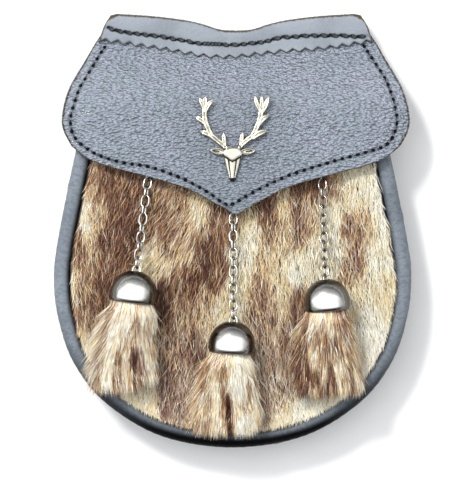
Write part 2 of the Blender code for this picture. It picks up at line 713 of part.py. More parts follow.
def tassel(side, frame, bail_turn, length, spread):
    """Locks of fur fused to a core that fills the dome, with the wire bail that the chain holds."""
    inner = DOME_RADIUS - DOME_WALL - GAP
    base = DOME_HEIGHT - DOME_RADIUS
    rings = []
    for z in (height * mm for height in CORE_SECTIONS):
        r = math.sqrt(inner**2 - max(0, z - base) ** 2)
        rings.append(section(Vector((0, 0, z)), Vector((1, 0, 0)), Vector((0, 1, 0)), r, r, 12))
    bm = bmesh.new()
    loft(bm, rings)
    meshes = [to_mesh(bm, "tassel_core")]
    for x0, y0, x1, y1, reach in TASSEL_LOCKS:
        bm = bmesh.new()
        rings = []
        for share, wide, thick in LOCK_SECTIONS:
            fan = ease(share)
            across = (x0 + (x1 * spread - x0) * fan) * mm
            down = (y0 + (y1 - y0) * fan) * mm
            centre = Vector((across, down, LOCK_START - share * (reach * length * mm + LOCK_START)))
            rings.append(section(centre, Vector((1, 0, 0)), Vector((0, 1, 0)), wide * mm, thick * mm, 5))
        loft(bm, rings)
        meshes.append(to_mesh(bm, "tassel_lock"))
    bm = bmesh.new()
    arch(bm, BAIL_HEIGHT, (CORE_SECTIONS[-1] - 1) * mm, BAIL_HALF)
    bmesh.ops.rotate(bm, matrix=Matrix.Rotation(bail_turn, 3, "Z"), verts=bm.verts)
    meshes.append(to_mesh(bm, "bail"))
    union(f"tassel_{side}", meshes, "fur").parent = frame


def tassels():
    mesh = link_mesh()
    for side, x, y, rim_x, rim_y, turn, length, spread in TASSELS:
        rim = Vector((rim_x * mm, rim_y * mm))
        rest = front_z(rim.y) + GAP + FUR_PRESSED + DOME_RADIUS + DOME_CLEAR
        frame = bpy.data.objects.new(f"tassel_frame_{side}", None)
        bpy.context.collection.objects.link(frame)
        frame.location = (rim.x, rim.y, rest)
        frame.rotation_euler = (-math.pi / 2, 0, math.radians(turn))
        bpy.context.view_layer.update()
        bail = frame.matrix_world @ Vector((0, 0, BAIL_HEIGHT))
        start = Vector((x * mm, y * mm, 0))
        start.z = front_z(start.y) + GAP + fur_pile(start.x, start.y) + LINK_WIDTH / 2 + GAP
        roll = chain(side, start, bail, mesh)
        staple(side, start)
        dome(side, frame)
        tassel(side, frame, roll + math.pi / 2, length, spread)


# ---- Badge --------------------------------------------------------------------------------
def stag_badge():
    """A cast stag's head with antlers, flat behind, standing on the flap by the back of its head."""
    meshes = []
    rings = []
    for y, half, thick in HEAD_SECTIONS:
        right = [(half, 0), (half, thick / 2), (half * 0.4, thick)]
        ring = right + [(-x, z) for x, z in reversed(right)]
        rings.append([Vector((x * mm, y * mm, z * mm)) for x, z in ring])
    bm = bmesh.new()
    loft(bm, rings)
    meshes.append(to_mesh(bm, "head", smooth=False))
    for hand in (-1, 1):
        bm = bmesh.new()
        rings = []
        for x, y, high, thick in EAR_SECTIONS:
            middle = Vector((hand * x * mm, y * mm, EAR_LIFT))
            rings.append(section(middle, Vector((0, 1, 0)), Vector((0, 0, 1)), high * mm, thick / 2 * mm, 6))
        loft(bm, rings)
        meshes.append(to_mesh(bm, "ear", smooth=False))
        line = [Vector((hand * x * mm, y * mm, ANTLER_LIFT)) for x, y, _ in ANTLER_BEAM]
        bm = bmesh.new()
        tapered_rod(bm, line, [r * mm for *_, r in ANTLER_BEAM], 6, 0.8)
        meshes.append(to_mesh(bm, "beam", smooth=False))
        for k, (x0, y0, x1, y1, r) in enumerate(ANTLER_TINES):
            root = Vector((hand * x0 * mm, y0 * mm, ANTLER_LIFT + (k % 2) * TINE_STAGGER))
            tip = Vector((hand * x1 * mm, y1 * mm, ANTLER_LIFT))
            bm = bmesh.new()
            line = [root.lerp(tip, s) for s in (0, 0.55, 1)]
            tapered_rod(bm, line, [r * 0.75 * mm, r * mm, 0.3 * mm], 5, 0.8)
            meshes.append(to_mesh(bm, "tine", smooth=False))
    made = union("stag_badge", meshes, "antique silver")
    slope = math.atan(FLAP_FALL)
    on_flap = flap_z(FLAP_LEAN, BADGE_HEIGHT) + FLAP_THICKNESS / math.cos(slope) + GAP
    made.location = (FLAP_LEAN / 2, BADGE_HEIGHT, on_flap)
    made.rotation_euler = (-slope, 0, 0)


def main():
    for old in list(bpy.data.objects):
        bpy.data.objects.remove(old)
    back_panel()
    gusset()
    front_welt()
    front_panel()
    fur_front()
    flap()
    hinge_strip()
    belt_loops()
    tassels()
    stag_badge()


main()
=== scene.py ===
import contextlib
import math

import bmesh
import bpy
import numpy as np
from mathutils import Matrix, Vector
from mathutils.bvhtree import BVHTree


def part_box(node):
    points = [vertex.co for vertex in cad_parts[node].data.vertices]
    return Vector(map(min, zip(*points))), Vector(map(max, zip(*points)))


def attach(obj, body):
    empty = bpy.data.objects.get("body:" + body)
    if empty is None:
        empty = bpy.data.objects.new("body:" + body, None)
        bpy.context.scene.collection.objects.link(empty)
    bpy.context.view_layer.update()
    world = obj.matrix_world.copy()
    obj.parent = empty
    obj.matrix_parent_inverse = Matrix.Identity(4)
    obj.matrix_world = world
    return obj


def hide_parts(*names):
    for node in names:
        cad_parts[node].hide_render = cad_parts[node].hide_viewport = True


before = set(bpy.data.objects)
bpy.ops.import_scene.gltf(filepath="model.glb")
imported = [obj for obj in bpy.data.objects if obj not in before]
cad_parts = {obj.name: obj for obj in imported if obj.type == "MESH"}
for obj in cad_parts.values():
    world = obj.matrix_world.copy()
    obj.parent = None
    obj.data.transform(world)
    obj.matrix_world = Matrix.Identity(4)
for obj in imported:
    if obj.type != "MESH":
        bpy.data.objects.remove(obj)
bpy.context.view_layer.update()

# The looks of a leather sporran pouch that lies on its back: +Y is towards its top, +Z out of
# its front. Lengths are in metres; tables of places are in millimetres and are scaled by mm.
mm = 0.001
GAP = 0.3 * mm

# ---- Outline and heights, the same values as in the CAD model ------------------------------
# half width, height: from the mouth, round the belly, to the middle of the bottom
BODY_EDGE = (
    (79.5, 60), (86.7, 27), (93.4, -8), (95, -27), (92.6, -47), (84.6, -70), (67.6, -91.5), (38, -109.2),
    (0, -115.3),
)
BACK_SIDE = ((69.2, 109), (72.4, 98), (76, 80), (79.8, 62))
TOP_EDGE = ((0, 106.4), (8, 107), (17, 110), (27, 112.2), (44, 114.2), (63, 115.3))
FLAP_LOW_EDGE = (
    (0, 8.1), (10.5, 14), (24.5, 21.5), (38.5, 26.2), (52, 29.8), (69, 34.4), (79, 38.4), (86.6, 44.6),
)
FLAP_SIDE = ((86.6, 44.6), (90.6, 52.2), (91.7, 60), (88.4, 74.5), (80, 90.5), (74.2, 101.5))
FLAP_LEAN = 1.7 * mm
LEAN_FROM, LEAN_TO = -30 * mm, 50 * mm
BACK_THICKNESS, BACK_INSET = 2.0 * mm, 0.9 * mm
# how far the gusset stands inside the edge at the back, half way up and at the roll
GUSSET_THICKNESS, GUSSET_INSIDE, GUSSET_CREASES = 1.8 * mm, (3.1, 1.5, 3.3), 90
ROLL_RADIUS = 4.15 * mm
FRONT_THICKNESS = 2.0 * mm
FRONT_HEIGHT, FRONT_FALL, FRONT_CROWN = 27.0 * mm, 0.022, 1.1 * mm
BELLY_MIDDLE, BELLY_REACH = -25 * mm, 90 * mm
PANEL_MARGIN = 0.6 * mm
FLAP_THICKNESS, FLAP_POINT_HEIGHT, FLAP_FALL = 2.5 * mm, 37.6 * mm, 0.105
FLAP_BENDS_FROM, FLAP_BENDS_TO = 60 * mm, 103 * mm
FLAP_DROOP, DROOP_FROM = 4.0 * mm, 68 * mm
STRIP_THICKNESS, STRIP_BEHIND, STRIP_LIFT, STRIP_RAISED = 1.2 * mm, 12 * mm, 0.7 * mm, 0.6 * mm
# half width and height of the strip's sides, from the rounded corner down
STRIP_SIDE = (
    (64.5, 116.2), (66.4, 115.4), (68.6, 113.4), (70.4, 109.6), (71.8, 105.4), (73, 101.5), (75, 95),
)
STRIP_TURN = ((0.5, 1.0), (0.0, 0.8), (0.0, 0.2), (0.5, 0.0))
STRIP_HALF_TOP, STRIP_HALF_LOW = 64.5 * mm, 73 * mm
TEETH, TOOTH_STEPS, TOOTH_DEPTH = 22, 8, 2.1 * mm
EDGE_WRAP = STRIP_THICKNESS + 2 * GAP
CORNER_FALL = 0.5
LOOP_WIDTH, LOOP_THICKNESS, LOOP_OFFSET = 22 * mm, 2.0 * mm, 46 * mm
LOOP_LOW, LOOP_HIGH, LOOP_TAB, LOOP_BEND, LOOP_ROOM = 46 * mm, 80 * mm, 10 * mm, 5 * mm, 5.4 * mm
FUR_PILE, FUR_PRESSED, FUR_TOP = 5.6 * mm, 3.0 * mm, 56 * mm
DENT_INNER, DENT_OUTER, DENT_ABOVE_RIM = 12.5 * mm, 22 * mm, 8 * mm
WIRE_RADIUS, LINK_LENGTH, LINK_WIDTH = 0.5 * mm, 7.1 * mm, 5.2 * mm
# side, dome rim centre x, y, dome turned from upright and the last link's turn, both in degrees
TASSELS = (("left", -52.9, -38.4, -7, 20), ("middle", -0.7, -65.2, -4, 20), ("right", 50.5, -42.9, 6, 110))
DOME_RADIUS, DOME_HEIGHT, DOME_WALL = 12.2 * mm, 17.5 * mm, 0.9 * mm
DOME_HOLE, DOME_CLEAR, RIM_TURN = 3.3 * mm, 0.8 * mm, 1.9 * mm
BAIL_HEIGHT, BAIL_HALF, ARCH_CORNER = 15.2 * mm, 2.0 * mm, 0.9 * mm
BADGE_HEIGHT = 42.7 * mm

# ---- Camera and light ----------------------------------------------------------------------
CAMERA_PLACE = (0.5 * mm, -10.3 * mm, 2.535)
VIEW_LONG_SIDE, CAMERA_DISTANCE = 0.265, 2.5  # what the photograph's long side takes in, from there
SENSOR_WIDTH = 36
FLOOR_SIZE, FLOOR_BELOW = 6, 0.5 * mm
KEY_PLACE, KEY_SIZE, KEY_POWER, KEY_COLOUR = (-1.3, 1.7, 3.0), 0.6, 95.0, (1.0, 0.985, 0.96)
TENT_PANEL, TENT_WALLS, TENT_COLOUR = 1.6, 0.25, (0.97, 0.985, 1.0, 1)

# ---- Seams, as read off the photograph: places in millimetres ------------------------------
HINGE_SEAM = (
    (-66.5, 107.6), (-56.6, 104.9), (-40.7, 103.2), (-26.6, 100.9), (-19.8, 99.2), (-7.6, 98.5),
    (-2.2, 97.8), (8.6, 98.8), (14.6, 99.4), (20.4, 100.9), (25.2, 102.3), (33.7, 102.7), (50.1, 103.4),
    (66.5, 102.7), (73, 103.4),
)
# the tips of the pinked edge's teeth
PINKED_EDGE = (
    (-73, 99.9), (-61.7, 99), (-49.6, 97.3), (-37.4, 95.5), (-25.4, 93.3), (-12.8, 91.2), (0.3, 90.9),
    (14.7, 92.6), (27.8, 94), (40.2, 94.8), (54.3, 96.5), (67.4, 98.5), (76, 99.6),
)
FLAP_SEAM = (
    (-67.8, 98.8), (-74, 88.6), (-78.2, 81.2), (-81.9, 74), (-85.5, 62), (-86.1, 57.5), (-84.6, 50.6),
    (-80.8, 46.1), (-72.3, 40.5), (-58.6, 35.8), (-46, 34.2), (-31.1, 29.4), (-17.8, 23.1), (-5, 14.6),
    (-1.9, 12.6), (8, 18.5), (21.8, 25.7), (35.8, 31.2), (51, 35.8), (66.5, 40.1), (78.5, 43.7),
    (83.7, 47.2), (87.1, 57.5), (85.9, 67.4), (81.6, 80.3), (74.6, 91.5), (69.7, 99.4),
)
HOLE_STEP, HOLE_RADIUS = 4.25 * mm, 0.92 * mm
SEAM_DENT, SEAM_WIDTH = 0.35 * mm, 1.3 * mm
BACK_SEAM_INSET = 3.6 * mm
FLAP_THREAD, HINGE_THREAD, BACK_THREAD = 0.3 * mm, 1.05 * mm, 0.4 * mm  # the threads' radii
HINGE_STITCH, HINGE_ARCH, HINGE_TILT = 5.9 * mm, 1.1, -10  # length, fall of its ends in mm, degrees
# the hinge's stitches, in millimetres: from one to the next, and tighter between these places
HINGE_STEPS, TIGHT_STEP, TIGHT_FROM, TIGHT_TO = (4.0, 5.6), 1.9, -19, -7

# ---- Fur -----------------------------------------------------------------------------------
# where the pelt is dark or light: x, y in millimetres, tone from 0, dark brown, to 1, cream
PELT_PATCHES = (
    (-73, 29, 0.6), (-64, 26, 0.33), (-56, 14, 0.28), (-39, 19, 0.42), (-29, 12, 0.5), (-16, 5, 0.8),
    (-9, 1, 0.38), (16, 14, 0.2), (27, 16, 0.7), (34, 23, 0.24), (44, 21, 0.33), (52, 24, 0.42),
    (61, 28, 0.8), (69, 19, 0.88), (-79, 8, 0.92), (-72, 13, 0.58), (-54, 3, 0.25), (-61, -5, 0.27),
    (-43, 8, 0.42), (-34, -4, 0.4), (-24, -4, 0.62), (-14, -14, 0.22), (-3, 1, 0.42), (6, 9, 0.62),
    (9, -1, 0.9), (20, 3, 0.36), (27, -3, 0.76), (35, -2, 0.4), (42, 9, 0.66), (52, 8, 0.88),
    (63, -3, 0.48), (71, 5, 0.6), (76, 10, 0.96), (-83, -11, 0.5), (-75, -18, 0.62), (-68, -17, 0.33),
    (-38, -17, 0.78), (-23, -17, 0.72), (-9, -24, 0.33), (6, -17, 0.9), (16, -17, 0.7), (34, -18, 0.94),
    (30, -8, 0.64), (42, -17, 0.84), (55, -12, 0.86), (63, -19, 0.46), (77, -18, 0.88), (-87, -33, 0.95),
    (-80, -38, 0.42), (-72, -32, 0.33), (-83, -48, 0.6), (-74, -50, 0.4), (-36, -39, 0.2), (-27, -36, 0.5),
    (-21, -28, 0.22), (-15, -39, 0.6), (-5, -40, 0.8), (6, -32, 0.8), (12, -35, 0.48), (18, -44, 0.44),
    (26, -36, 0.76), (35, -46, 0.34), (65, -38, 0.8), (71, -48, 0.94), (78, -37, 0.78), (-76, -61, 0.9),
    (-33, -63, 0.5), (-26, -58, 0.52), (-20, -62, 0.3), (-16, -53, 0.74), (17, -64, 0.58), (26, -64, 0.52),
    (34, -63, 0.46), (76, -59, 0.94), (-44, -91, 0.82), (-35, -86, 0.4), (-29, -91, 0.32), (-22, -85, 0.56),
    (-18, -97, 0.76), (-28, -98, 0.62), (18, -91, 0.58), (26, -85, 0.55), (37, -96, 0.9), (26, -100, 0.8),
    (49, -92, 0.86),
)
PATCH_REACH = (3.8 * mm, 7.5 * mm)  # across and along the hair
# which way the hair is combed: x, y in millimetres, degrees from straight down, right is positive
PELT_COMBING = (
    (-78, 10, 2), (-60, 15, -6), (-44, 12, -36), (-32, -8, -40), (-10, 5, -4), (-15, -30, 2), (10, 0, 3),
    (30, 10, -4), (60, 10, -3), (80, 15, 12), (45, -20, 5), (75, -45, 10), (-80, -50, 4), (-25, -85, -4),
    (30, -85, 6),
)

# the flap's two tones, matched to the photograph, the brown of worn edges, and the near black of painted
# shade in dents
LEATHER_BLUE, LEATHER_MAUVE = (0.307, 0.353, 0.412, 1), (0.34, 0.363, 0.44, 1)
EDGE_OLIVE, DENT_SHADE = (0.06, 0.045, 0.02, 1), (0.05, 0.06, 0.08, 1)
GRAIN_CELLS, GRAIN_DEPTH = 920.0, 1.4 * mm
ACROSS_POINTS, SIDE_POINTS, EDGE_POINTS = 161, 121, 161  # in the lines round the flap, the front and the back
NO_SEAM = 9.0  # a noted distance in millimetres that is past the reach of any wear or seam
SEED = 7


# ---- Lines ---------------------------------------------------------------------------------
def even(line, count):
    """The same line with count points at equal steps."""
    line = np.asarray(line, float)
    far = np.append(0, np.cumsum(np.linalg.norm(np.diff(line, axis=0), axis=1)))
    want = np.linspace(0, far[-1], count)
    return np.column_stack([np.interp(want, far, axis) for axis in line.T])


def smooth_line(points, count):
    """count points, evenly spaced along a Catmull-Rom curve through the given ones."""
    p = np.asarray(points, float)
    p = np.vstack([2 * p[0] - p[1], p, 2 * p[-1] - p[-2]])
    t = np.linspace(0, 1, 12, endpoint=False)[:, None]
    fine = [
        0.5 * (2 * b + (c - a) * t + (2 * a - 5 * b + 4 * c - d) * t**2 + (3 * b - a - 3 * c + d) * t**3)
        for a, b, c, d in zip(p, p[1:], p[2:], p[3:])
    ]
    return even(np.vstack([*fine, p[-2]]), count)


def seen(line, height):
    """Places at that height which the camera sees where the line's places, on the fur, would be."""
    eye = np.array(CAMERA_PLACE[:2])
    return eye + (line - eye) * (CAMERA_PLACE[2] - height) / CAMERA_DISTANCE


def length_of(line):
    return np.linalg.norm(np.diff(line, axis=0), axis=1).sum()


def both_sides(half):
    """A line from the left end of half's mirror image to half's right end."""
    return [(-x, y) for x, y in half] + [(x, y) for x, y in reversed(half[:-1])]


def unit(vectors, least=0.0):
    """The same vectors at length 1; least keeps those of no length from dividing by nothing."""
    return vectors / (np.linalg.norm(vectors, axis=-1, keepdims=True) + least)


def sideways(line):
    """Unit vectors to the left of a flat line's direction at each of its points."""
    along = unit(np.gradient(line, axis=0))
    return np.column_stack([-along[:, 1], along[:, 0]])


def inset(line, distance):
    return line + sideways(line) * distance


def body_line(count, distance=0.0):
    """The pouch's edge, from the left of the mouth round the bottom to the right, moved inwards."""
    return inset(smooth_line(np.array(both_sides(BODY_EDGE)) * mm, count), distance)


def at_share(line, share):
    """Places at these shares of the way along an evenly spaced line."""
    steps = np.linspace(0, 1, len(line))
    return np.column_stack([np.interp(share, steps, axis) for axis in line.T])


def patch(bottom, top, left, right, u, v):
    """Places inside four lines that meet at their ends, at shares u across and v up."""
    U, V = u[:, None], v[:, None]
    corners = (bottom[0] * (1 - U) + bottom[-1] * U) * (1 - V) + (top[0] * (1 - U) + top[-1] * U) * V
    across = at_share(bottom, u) * (1 - V) + at_share(top, u) * V
    return across + at_share(left, v) * (1 - U) + at_share(right, v) * U - corners


def ease(t):
    """0 below 0, 1 above 1 and a smooth rise between."""
    t = np.clip(t, 0, 1)
    return t * t * (3 - 2 * t)


def distance_to(points, line):
    """How far each flat point is from a line of points."""
    far = np.full(len(points), 1e9)
    for a, b in zip(line, line[1:]):
        t = np.clip(((points - a) @ (b - a)) / ((b - a) @ (b - a)), 0, 1)
        far = np.minimum(far, np.linalg.norm(points - a - t[:, None] * (b - a), axis=1))
    return far


# ---- Heights above the table ---------------------------------------------------------------
BODY_BOTTOM = BODY_EDGE[-1][1] * mm + BACK_INSET
BACK_SLOPE = (LOOP_THICKNESS + LOOP_ROOM) / ((LOOP_LOW + LOOP_HIGH) / 2 - BODY_BOTTOM)


def back_z(y):
    return BACK_SLOPE * (y - BODY_BOTTOM)


def front_z(y):
    return FRONT_HEIGHT - FRONT_FALL * y - FRONT_CROWN * ((y - BELLY_MIDDLE) / BELLY_REACH) ** 2


def roll_z(y):
    return front_z(y) - FRONT_THICKNESS / 2


def flap_z(x, y):
    """The flap's underside: a slope over the front that bends down to the back panel at the hinge."""
    front = FLAP_POINT_HEIGHT - FLAP_FALL * (y - FLAP_LOW_EDGE[0][1] * mm)
    sewn = back_z(y) + BACK_THICKNESS + GAP
    bent = ease((y - FLAP_BENDS_FROM) / (FLAP_BENDS_TO - FLAP_BENDS_FROM))
    past = np.maximum(0, np.abs(x - FLAP_LEAN) - DROOP_FROM) / (FLAP_SIDE[2][0] * mm - DROOP_FROM)
    return front + (sewn - front) * bent - FLAP_DROOP * past**2 * (1 - bent)


def flap_low_y(x):
    """Height of the flap's lower edge at x."""
    table = np.array(FLAP_LOW_EDGE) * mm
    return np.interp(np.abs(x - FLAP_LEAN), table[:, 0], table[:, 1])


def fur_pile(x, y):
    """How deep the fur stands: short where the flap or a tassel presses on it."""
    free = ease((flap_low_y(x) + 2 * mm - y) / (14 * mm))
    for _, rim_x, rim_y, *_ in TASSELS:
        below = np.maximum(0, y - (rim_y * mm + DENT_ABOVE_RIM))
        beyond = np.hypot(x - rim_x * mm, below)
        free = np.minimum(free, ease((beyond - DENT_INNER) / (DENT_OUTER - DENT_INNER)))
    return FUR_PRESSED + (FUR_PILE - FUR_PRESSED) * free


def top_edge_y(x):
    """Height of the wavy top edge at x, with its corners rounded off."""
    line = smooth_line(np.array(TOP_EDGE) * mm, 60)
    x = np.abs(x)
    return np.interp(x, line[:, 0], line[:, 1]) - np.maximum(0, x - line[-1, 0]) * CORNER_FALL


# ---- Working by hand -----------------------------------------------------------------------
def alone(*pieces):
    """Selects these pieces and nothing else."""
    bpy.ops.object.select_all(action="DESELECT")
    for piece in pieces:
        piece.select_set(True)
    bpy.context.view_layer.objects.active = pieces[0]
    return pieces[0]


def named(name):
    """Names the primitive that was just added."""
    piece = bpy.context.object
    piece.name = piece.data.name = name
    return alone(piece)


@contextlib.contextmanager
def editing(piece, everything=False):
    """Edit mode on one piece, with all of it selected or nothing."""
    alone(piece)
    bpy.ops.object.mode_set(mode="EDIT")
    bpy.ops.mesh.select_mode(type="VERT")
    bpy.ops.mesh.select_all(action="SELECT" if everything else "DESELECT")
    yield
    bpy.ops.object.mode_set(mode="OBJECT")


def outwards():
    """In edit mode, turns all faces outwards."""
    bpy.ops.mesh.select_all(action="SELECT")
    bpy.ops.mesh.normals_make_consistent(inside=False)


def draw_out(*way):
    """In edit mode, extrudes what is selected by x, y, z."""
    bpy.ops.mesh.extrude_region_move(TRANSFORM_OT_translate={"value": way})


def cut_across(axis, place):
    """In edit mode, cuts the whole piece through at that place on an axis: 0 is X, 1 is Y."""
    way = np.eye(3)[axis]
    bpy.ops.mesh.select_all(action="SELECT")
    bpy.ops.mesh.bisect(plane_co=tuple(way * place), plane_no=tuple(way))


def select_where(piece, test, kind="verts"):
    """In edit mode, selects the points or faces that pass the test, and nothing else."""
    bm = bmesh.from_edit_mesh(piece.data)
    bpy.ops.mesh.select_mode(type="VERT" if kind == "verts" else "FACE")
    bpy.ops.mesh.select_all(action="DESELECT")
    for part in getattr(bm, kind):
        part.select_set(test(part))
    bm.select_flush_mode()
    bmesh.update_edit_mesh(piece.data)


def modify(piece, kind, **settings):
    """Adds a modifier with these settings and applies it."""
    alone(piece)
    bpy.ops.object.modifier_add(type=kind)
    for key, value in settings.items():
        setattr(piece.modifiers[-1], key, value)
    bpy.ops.object.modifier_apply(modifier=piece.modifiers[-1].name)


def places_of(piece):
    found = np.empty(len(piece.data.vertices) * 3)
    piece.data.vertices.foreach_get("co", found)
    return found.reshape(-1, 3)


def put_points(piece, places):
    piece.data.vertices.foreach_set("co", np.ascontiguousarray(places, dtype=float).ravel())
    piece.data.update()


def linked(name, data):
    """A new object with this data, put into the scene."""
    made = bpy.data.objects.new(name, data)
    bpy.context.collection.objects.link(made)
    return made


def flat_face(name, places):
    """A circle primitive, filled, with its points drawn out to these places."""
    bpy.ops.mesh.primitive_circle_add(vertices=len(places), radius=1, fill_type="NGON")
    piece = named(name)
    put_points(piece, places)
    return piece


def grid(name, across, up, place):
    """A primitive grid with each point moved to place(u, v): u across and v up, from 0 to 1."""
    bpy.ops.mesh.primitive_grid_add(x_subdivisions=across, y_subdivisions=up, size=2)
    piece = named(name)
    flat = places_of(piece)
    put_points(piece, place((flat[:, 0] + 1) / 2, (flat[:, 1] + 1) / 2))
    return piece


def close_up(piece):
    """Merges the points that meet, fills what is still open and turns the faces outwards."""
    with editing(piece, everything=True):
        bpy.ops.mesh.remove_doubles(threshold=1e-6)
        bpy.ops.mesh.select_all(action="DESELECT")
        bpy.ops.mesh.select_non_manifold()
        if bmesh.from_edit_mesh(piece.data).select_history or piece.data.total_edge_sel:
            bpy.ops.mesh.fill_holes(sides=0)
        outwards()


def smooth(piece, degrees=35):
    alone(piece)
    bpy.ops.object.shade_smooth_by_angle(angle=math.radians(degrees))
    return piece


def grow(name, ring, stations, turned=Matrix()):
    """A rod: a circle, flattened and grooved like ring, extruded through stations in the XY plane.

    ring gives each point's share of the half width across and of the half height up; a station
    is x, y, z, half width, half height; turned places the finished rod."""
    x, y, z, wide, high = stations[0]
    piece = flat_face(name, [(across, 0, up) for across, up in ring])
    heading = math.atan2(stations[1][1] - y, stations[1][0] - x) - math.pi / 2
    with editing(piece, everything=True):
        bpy.ops.transform.resize(value=(wide, 1, high), center_override=(0, 0, 0))
        turn_flat(heading, (0, 0, 0))
        bpy.ops.transform.translate(value=(x, y, z))
        for i in range(1, len(stations)):
            x1, y1, z1, wide1, high1 = stations[i]
            draw_out(x1 - x, y1 - y, z1 - z)
            after = stations[min(i + 1, len(stations) - 1)]
            before = stations[i - 1]
            way = math.atan2(after[1] - before[1], after[0] - before[0]) - math.pi / 2
            turn_flat(-heading, (x1, y1, z1))
            bpy.ops.transform.resize(value=(wide1 / wide, 1, high1 / high), center_override=(x1, y1, z1))
            turn_flat(way, (x1, y1, z1))
            x, y, z, wide, high, heading = x1, y1, z1, wide1, high1, way
        outwards()
    piece.data.transform(turned)
    return piece


def turn_flat(angle, centre):
    """Turns what is selected anticlockwise about Z. With no window the operator turns the other way."""
    bpy.ops.transform.rotate(value=-angle, orient_axis="Z", center_override=centre)


def joined(name, pieces):
    alone(*pieces)
    bpy.ops.object.join()
    return named(name)


def copies(piece, matrices):
    """One piece made of a copy at each of these places; the first piece is used up."""
    made = []
    for matrix in matrices:
        made.append(linked(piece.name, piece.data.copy()))
        made[-1].data.transform(matrix)
    name = piece.name
    bpy.data.objects.remove(piece)
    return joined(name, made)


def note(piece, name, values):
    """Gives the piece's points a number that its material reads."""
    made = piece.data.attributes.new(name, "FLOAT", "POINT")
    made.data.foreach_set("value", np.ascontiguousarray(values, dtype=float))


def facing_of(piece):
    """How far each point faces the front: 1 straight up, 0 sideways."""
    normals = np.empty(len(piece.data.vertices) * 3)
    piece.data.vertices.foreach_get("normal", normals)
    return normals[2::3]


def painted_side_shade(piece, high, low, most):
    """Painted shade: how dark each point is, up to most where it faces away from the front."""
    return ease((high - facing_of(piece)) / (high - low)) * most


def tree_of(piece):
    """The piece's surface, to lay other pieces on."""
    return BVHTree.FromObject(piece, bpy.context.evaluated_depsgraph_get())


def drop(surface, x, y):
    """Where a point straight above x, y lands on that surface, and which way it faces."""
    place, normal, *_ = surface.ray_cast(Vector((x, y, 1)), Vector((0, 0, -1)))
    return (place, normal) if place else (None, None)


def laid(surface, line, lift):
    """A frame at the middle of each step of a flat line, X along it, Z out of the surface."""
    frames = []
    for a, b in zip(line, line[1:]):
        middle = (a + b) / 2
        place, normal = drop(surface, *middle)
        if place is None:
            continue
        along = Vector((*(b - a), 0)).normalized()
        across = normal.cross(along).normalized()
        turned = Matrix((across.cross(normal), across, normal)).transposed().to_4x4()
        frames.append(Matrix.Translation(place + normal * lift) @ turned)
    return frames


# ---- Shader nodes --------------------------------------------------------------------------
def node(tree, kind, inputs=None, **settings):
    """Adds a node; inputs holds a value or a socket to link for each input, by its name or number."""
    made = tree.nodes.new(kind)
    for key, value in settings.items():
        setattr(made, key, value)
    for key, value in (inputs or {}).items():
        if isinstance(value, bpy.types.NodeSocket):
            tree.links.new(value, made.inputs[key])
        else:
            made.inputs[key].default_value = value
    return made


def maths(tree, operation, a, b=0.0):
    return node(tree, "ShaderNodeMath", {0: a, 1: b}, operation=operation).outputs[0]


def times(tree, a, b):
    return maths(tree, "MULTIPLY", a, b)


def plus(tree, a, b):
    return maths(tree, "ADD", a, b)


def between(tree, value, low, high, start=0.0, end=1.0):
    """value from low to high, remapped smoothly to start to end."""
    inputs = {"Value": value, "From Min": low, "From Max": high, "To Min": start, "To Max": end}
    return node(tree, "ShaderNodeMapRange", inputs, interpolation_type="SMOOTHSTEP").outputs[0]


def blended(tree, share, a, b):
    """Colour a where share is 0 and colour b where it is 1."""
    return node(tree, "ShaderNodeMix", {"Factor": share, 6: a, 7: b}, data_type="RGBA").outputs[2]


def noise(tree, vector, scale, detail=2.0, rough=0.5, distortion=0.0):
    inputs = {"Vector": vector, "Scale": scale, "Detail": detail, "Roughness": rough}
    return node(tree, "ShaderNodeTexNoise", {**inputs, "Distortion": distortion}).outputs[0]


def stretched(tree, vector, scale, turn=0.0):
    inputs = {"Vector": vector, "Scale": scale, "Rotation": (0, 0, turn)}
    return node(tree, "ShaderNodeMapping", inputs).outputs[0]


def ramp(tree, value, stops):
    made = node(tree, "ShaderNodeValToRGB", {0: value})
    elements = made.color_ramp.elements
    while len(elements) < len(stops):
        elements.new(0.5)
    for element, (place, colour) in zip(elements, stops):
        element.position = place
        element.color = (*colour, 1)
    return made.outputs[0]


def group(name, outputs, **inputs):
    """An empty node group that takes a vector and these values, and the nodes that stand for its ends."""
    tree = bpy.data.node_groups.new(name, "ShaderNodeTree")
    tree.interface.new_socket("Vector", in_out="INPUT", socket_type="NodeSocketVector")
    for socket, value in inputs.items():
        tree.interface.new_socket(socket, in_out="INPUT", socket_type="NodeSocketFloat").default_value = value
    for socket in outputs:
        tree.interface.new_socket(socket, in_out="OUTPUT", socket_type="NodeSocketFloat")
    return tree, tree.nodes.new("NodeGroupInput").outputs, tree.nodes.new("NodeGroupOutput")


def effect(tree, made, **inputs):
    """Places a node group in a material."""
    return node(tree, "ShaderNodeGroup", inputs, node_tree=made).outputs


def material(name, **constants):
    """A new material with its Principled shader, and constants set on that shader's sockets."""
    made = bpy.data.materials.new(name)
    made.use_nodes = True
    shader = made.node_tree.nodes["Principled BSDF"]
    for socket, value in constants.items():
        shader.inputs[socket.replace("_", " ")].default_value = value
    return made, made.node_tree, shader


def feed(tree, end, **sockets):
    """Links these values to a shader or to the end of a group; underscores in names stand for spaces."""
    for name, value in sockets.items():
        tree.links.new(value, end.inputs[name.replace("_", " ")])


def bumped(tree, height, distance, strength=1.0):
    inputs = {"Height": height, "Distance": distance, "Strength": strength}
    return node(tree, "ShaderNodeBump", inputs).outputs[0]


def own_place(tree):
    return node(tree, "ShaderNodeTexCoord").outputs["Object"]


def own_uv(tree, name):
    return node(tree, "ShaderNodeUVMap", uv_map=name).outputs[0]


def read(tree, attribute):
    return node(tree, "ShaderNodeAttribute", attribute_name=attribute).outputs["Fac"]


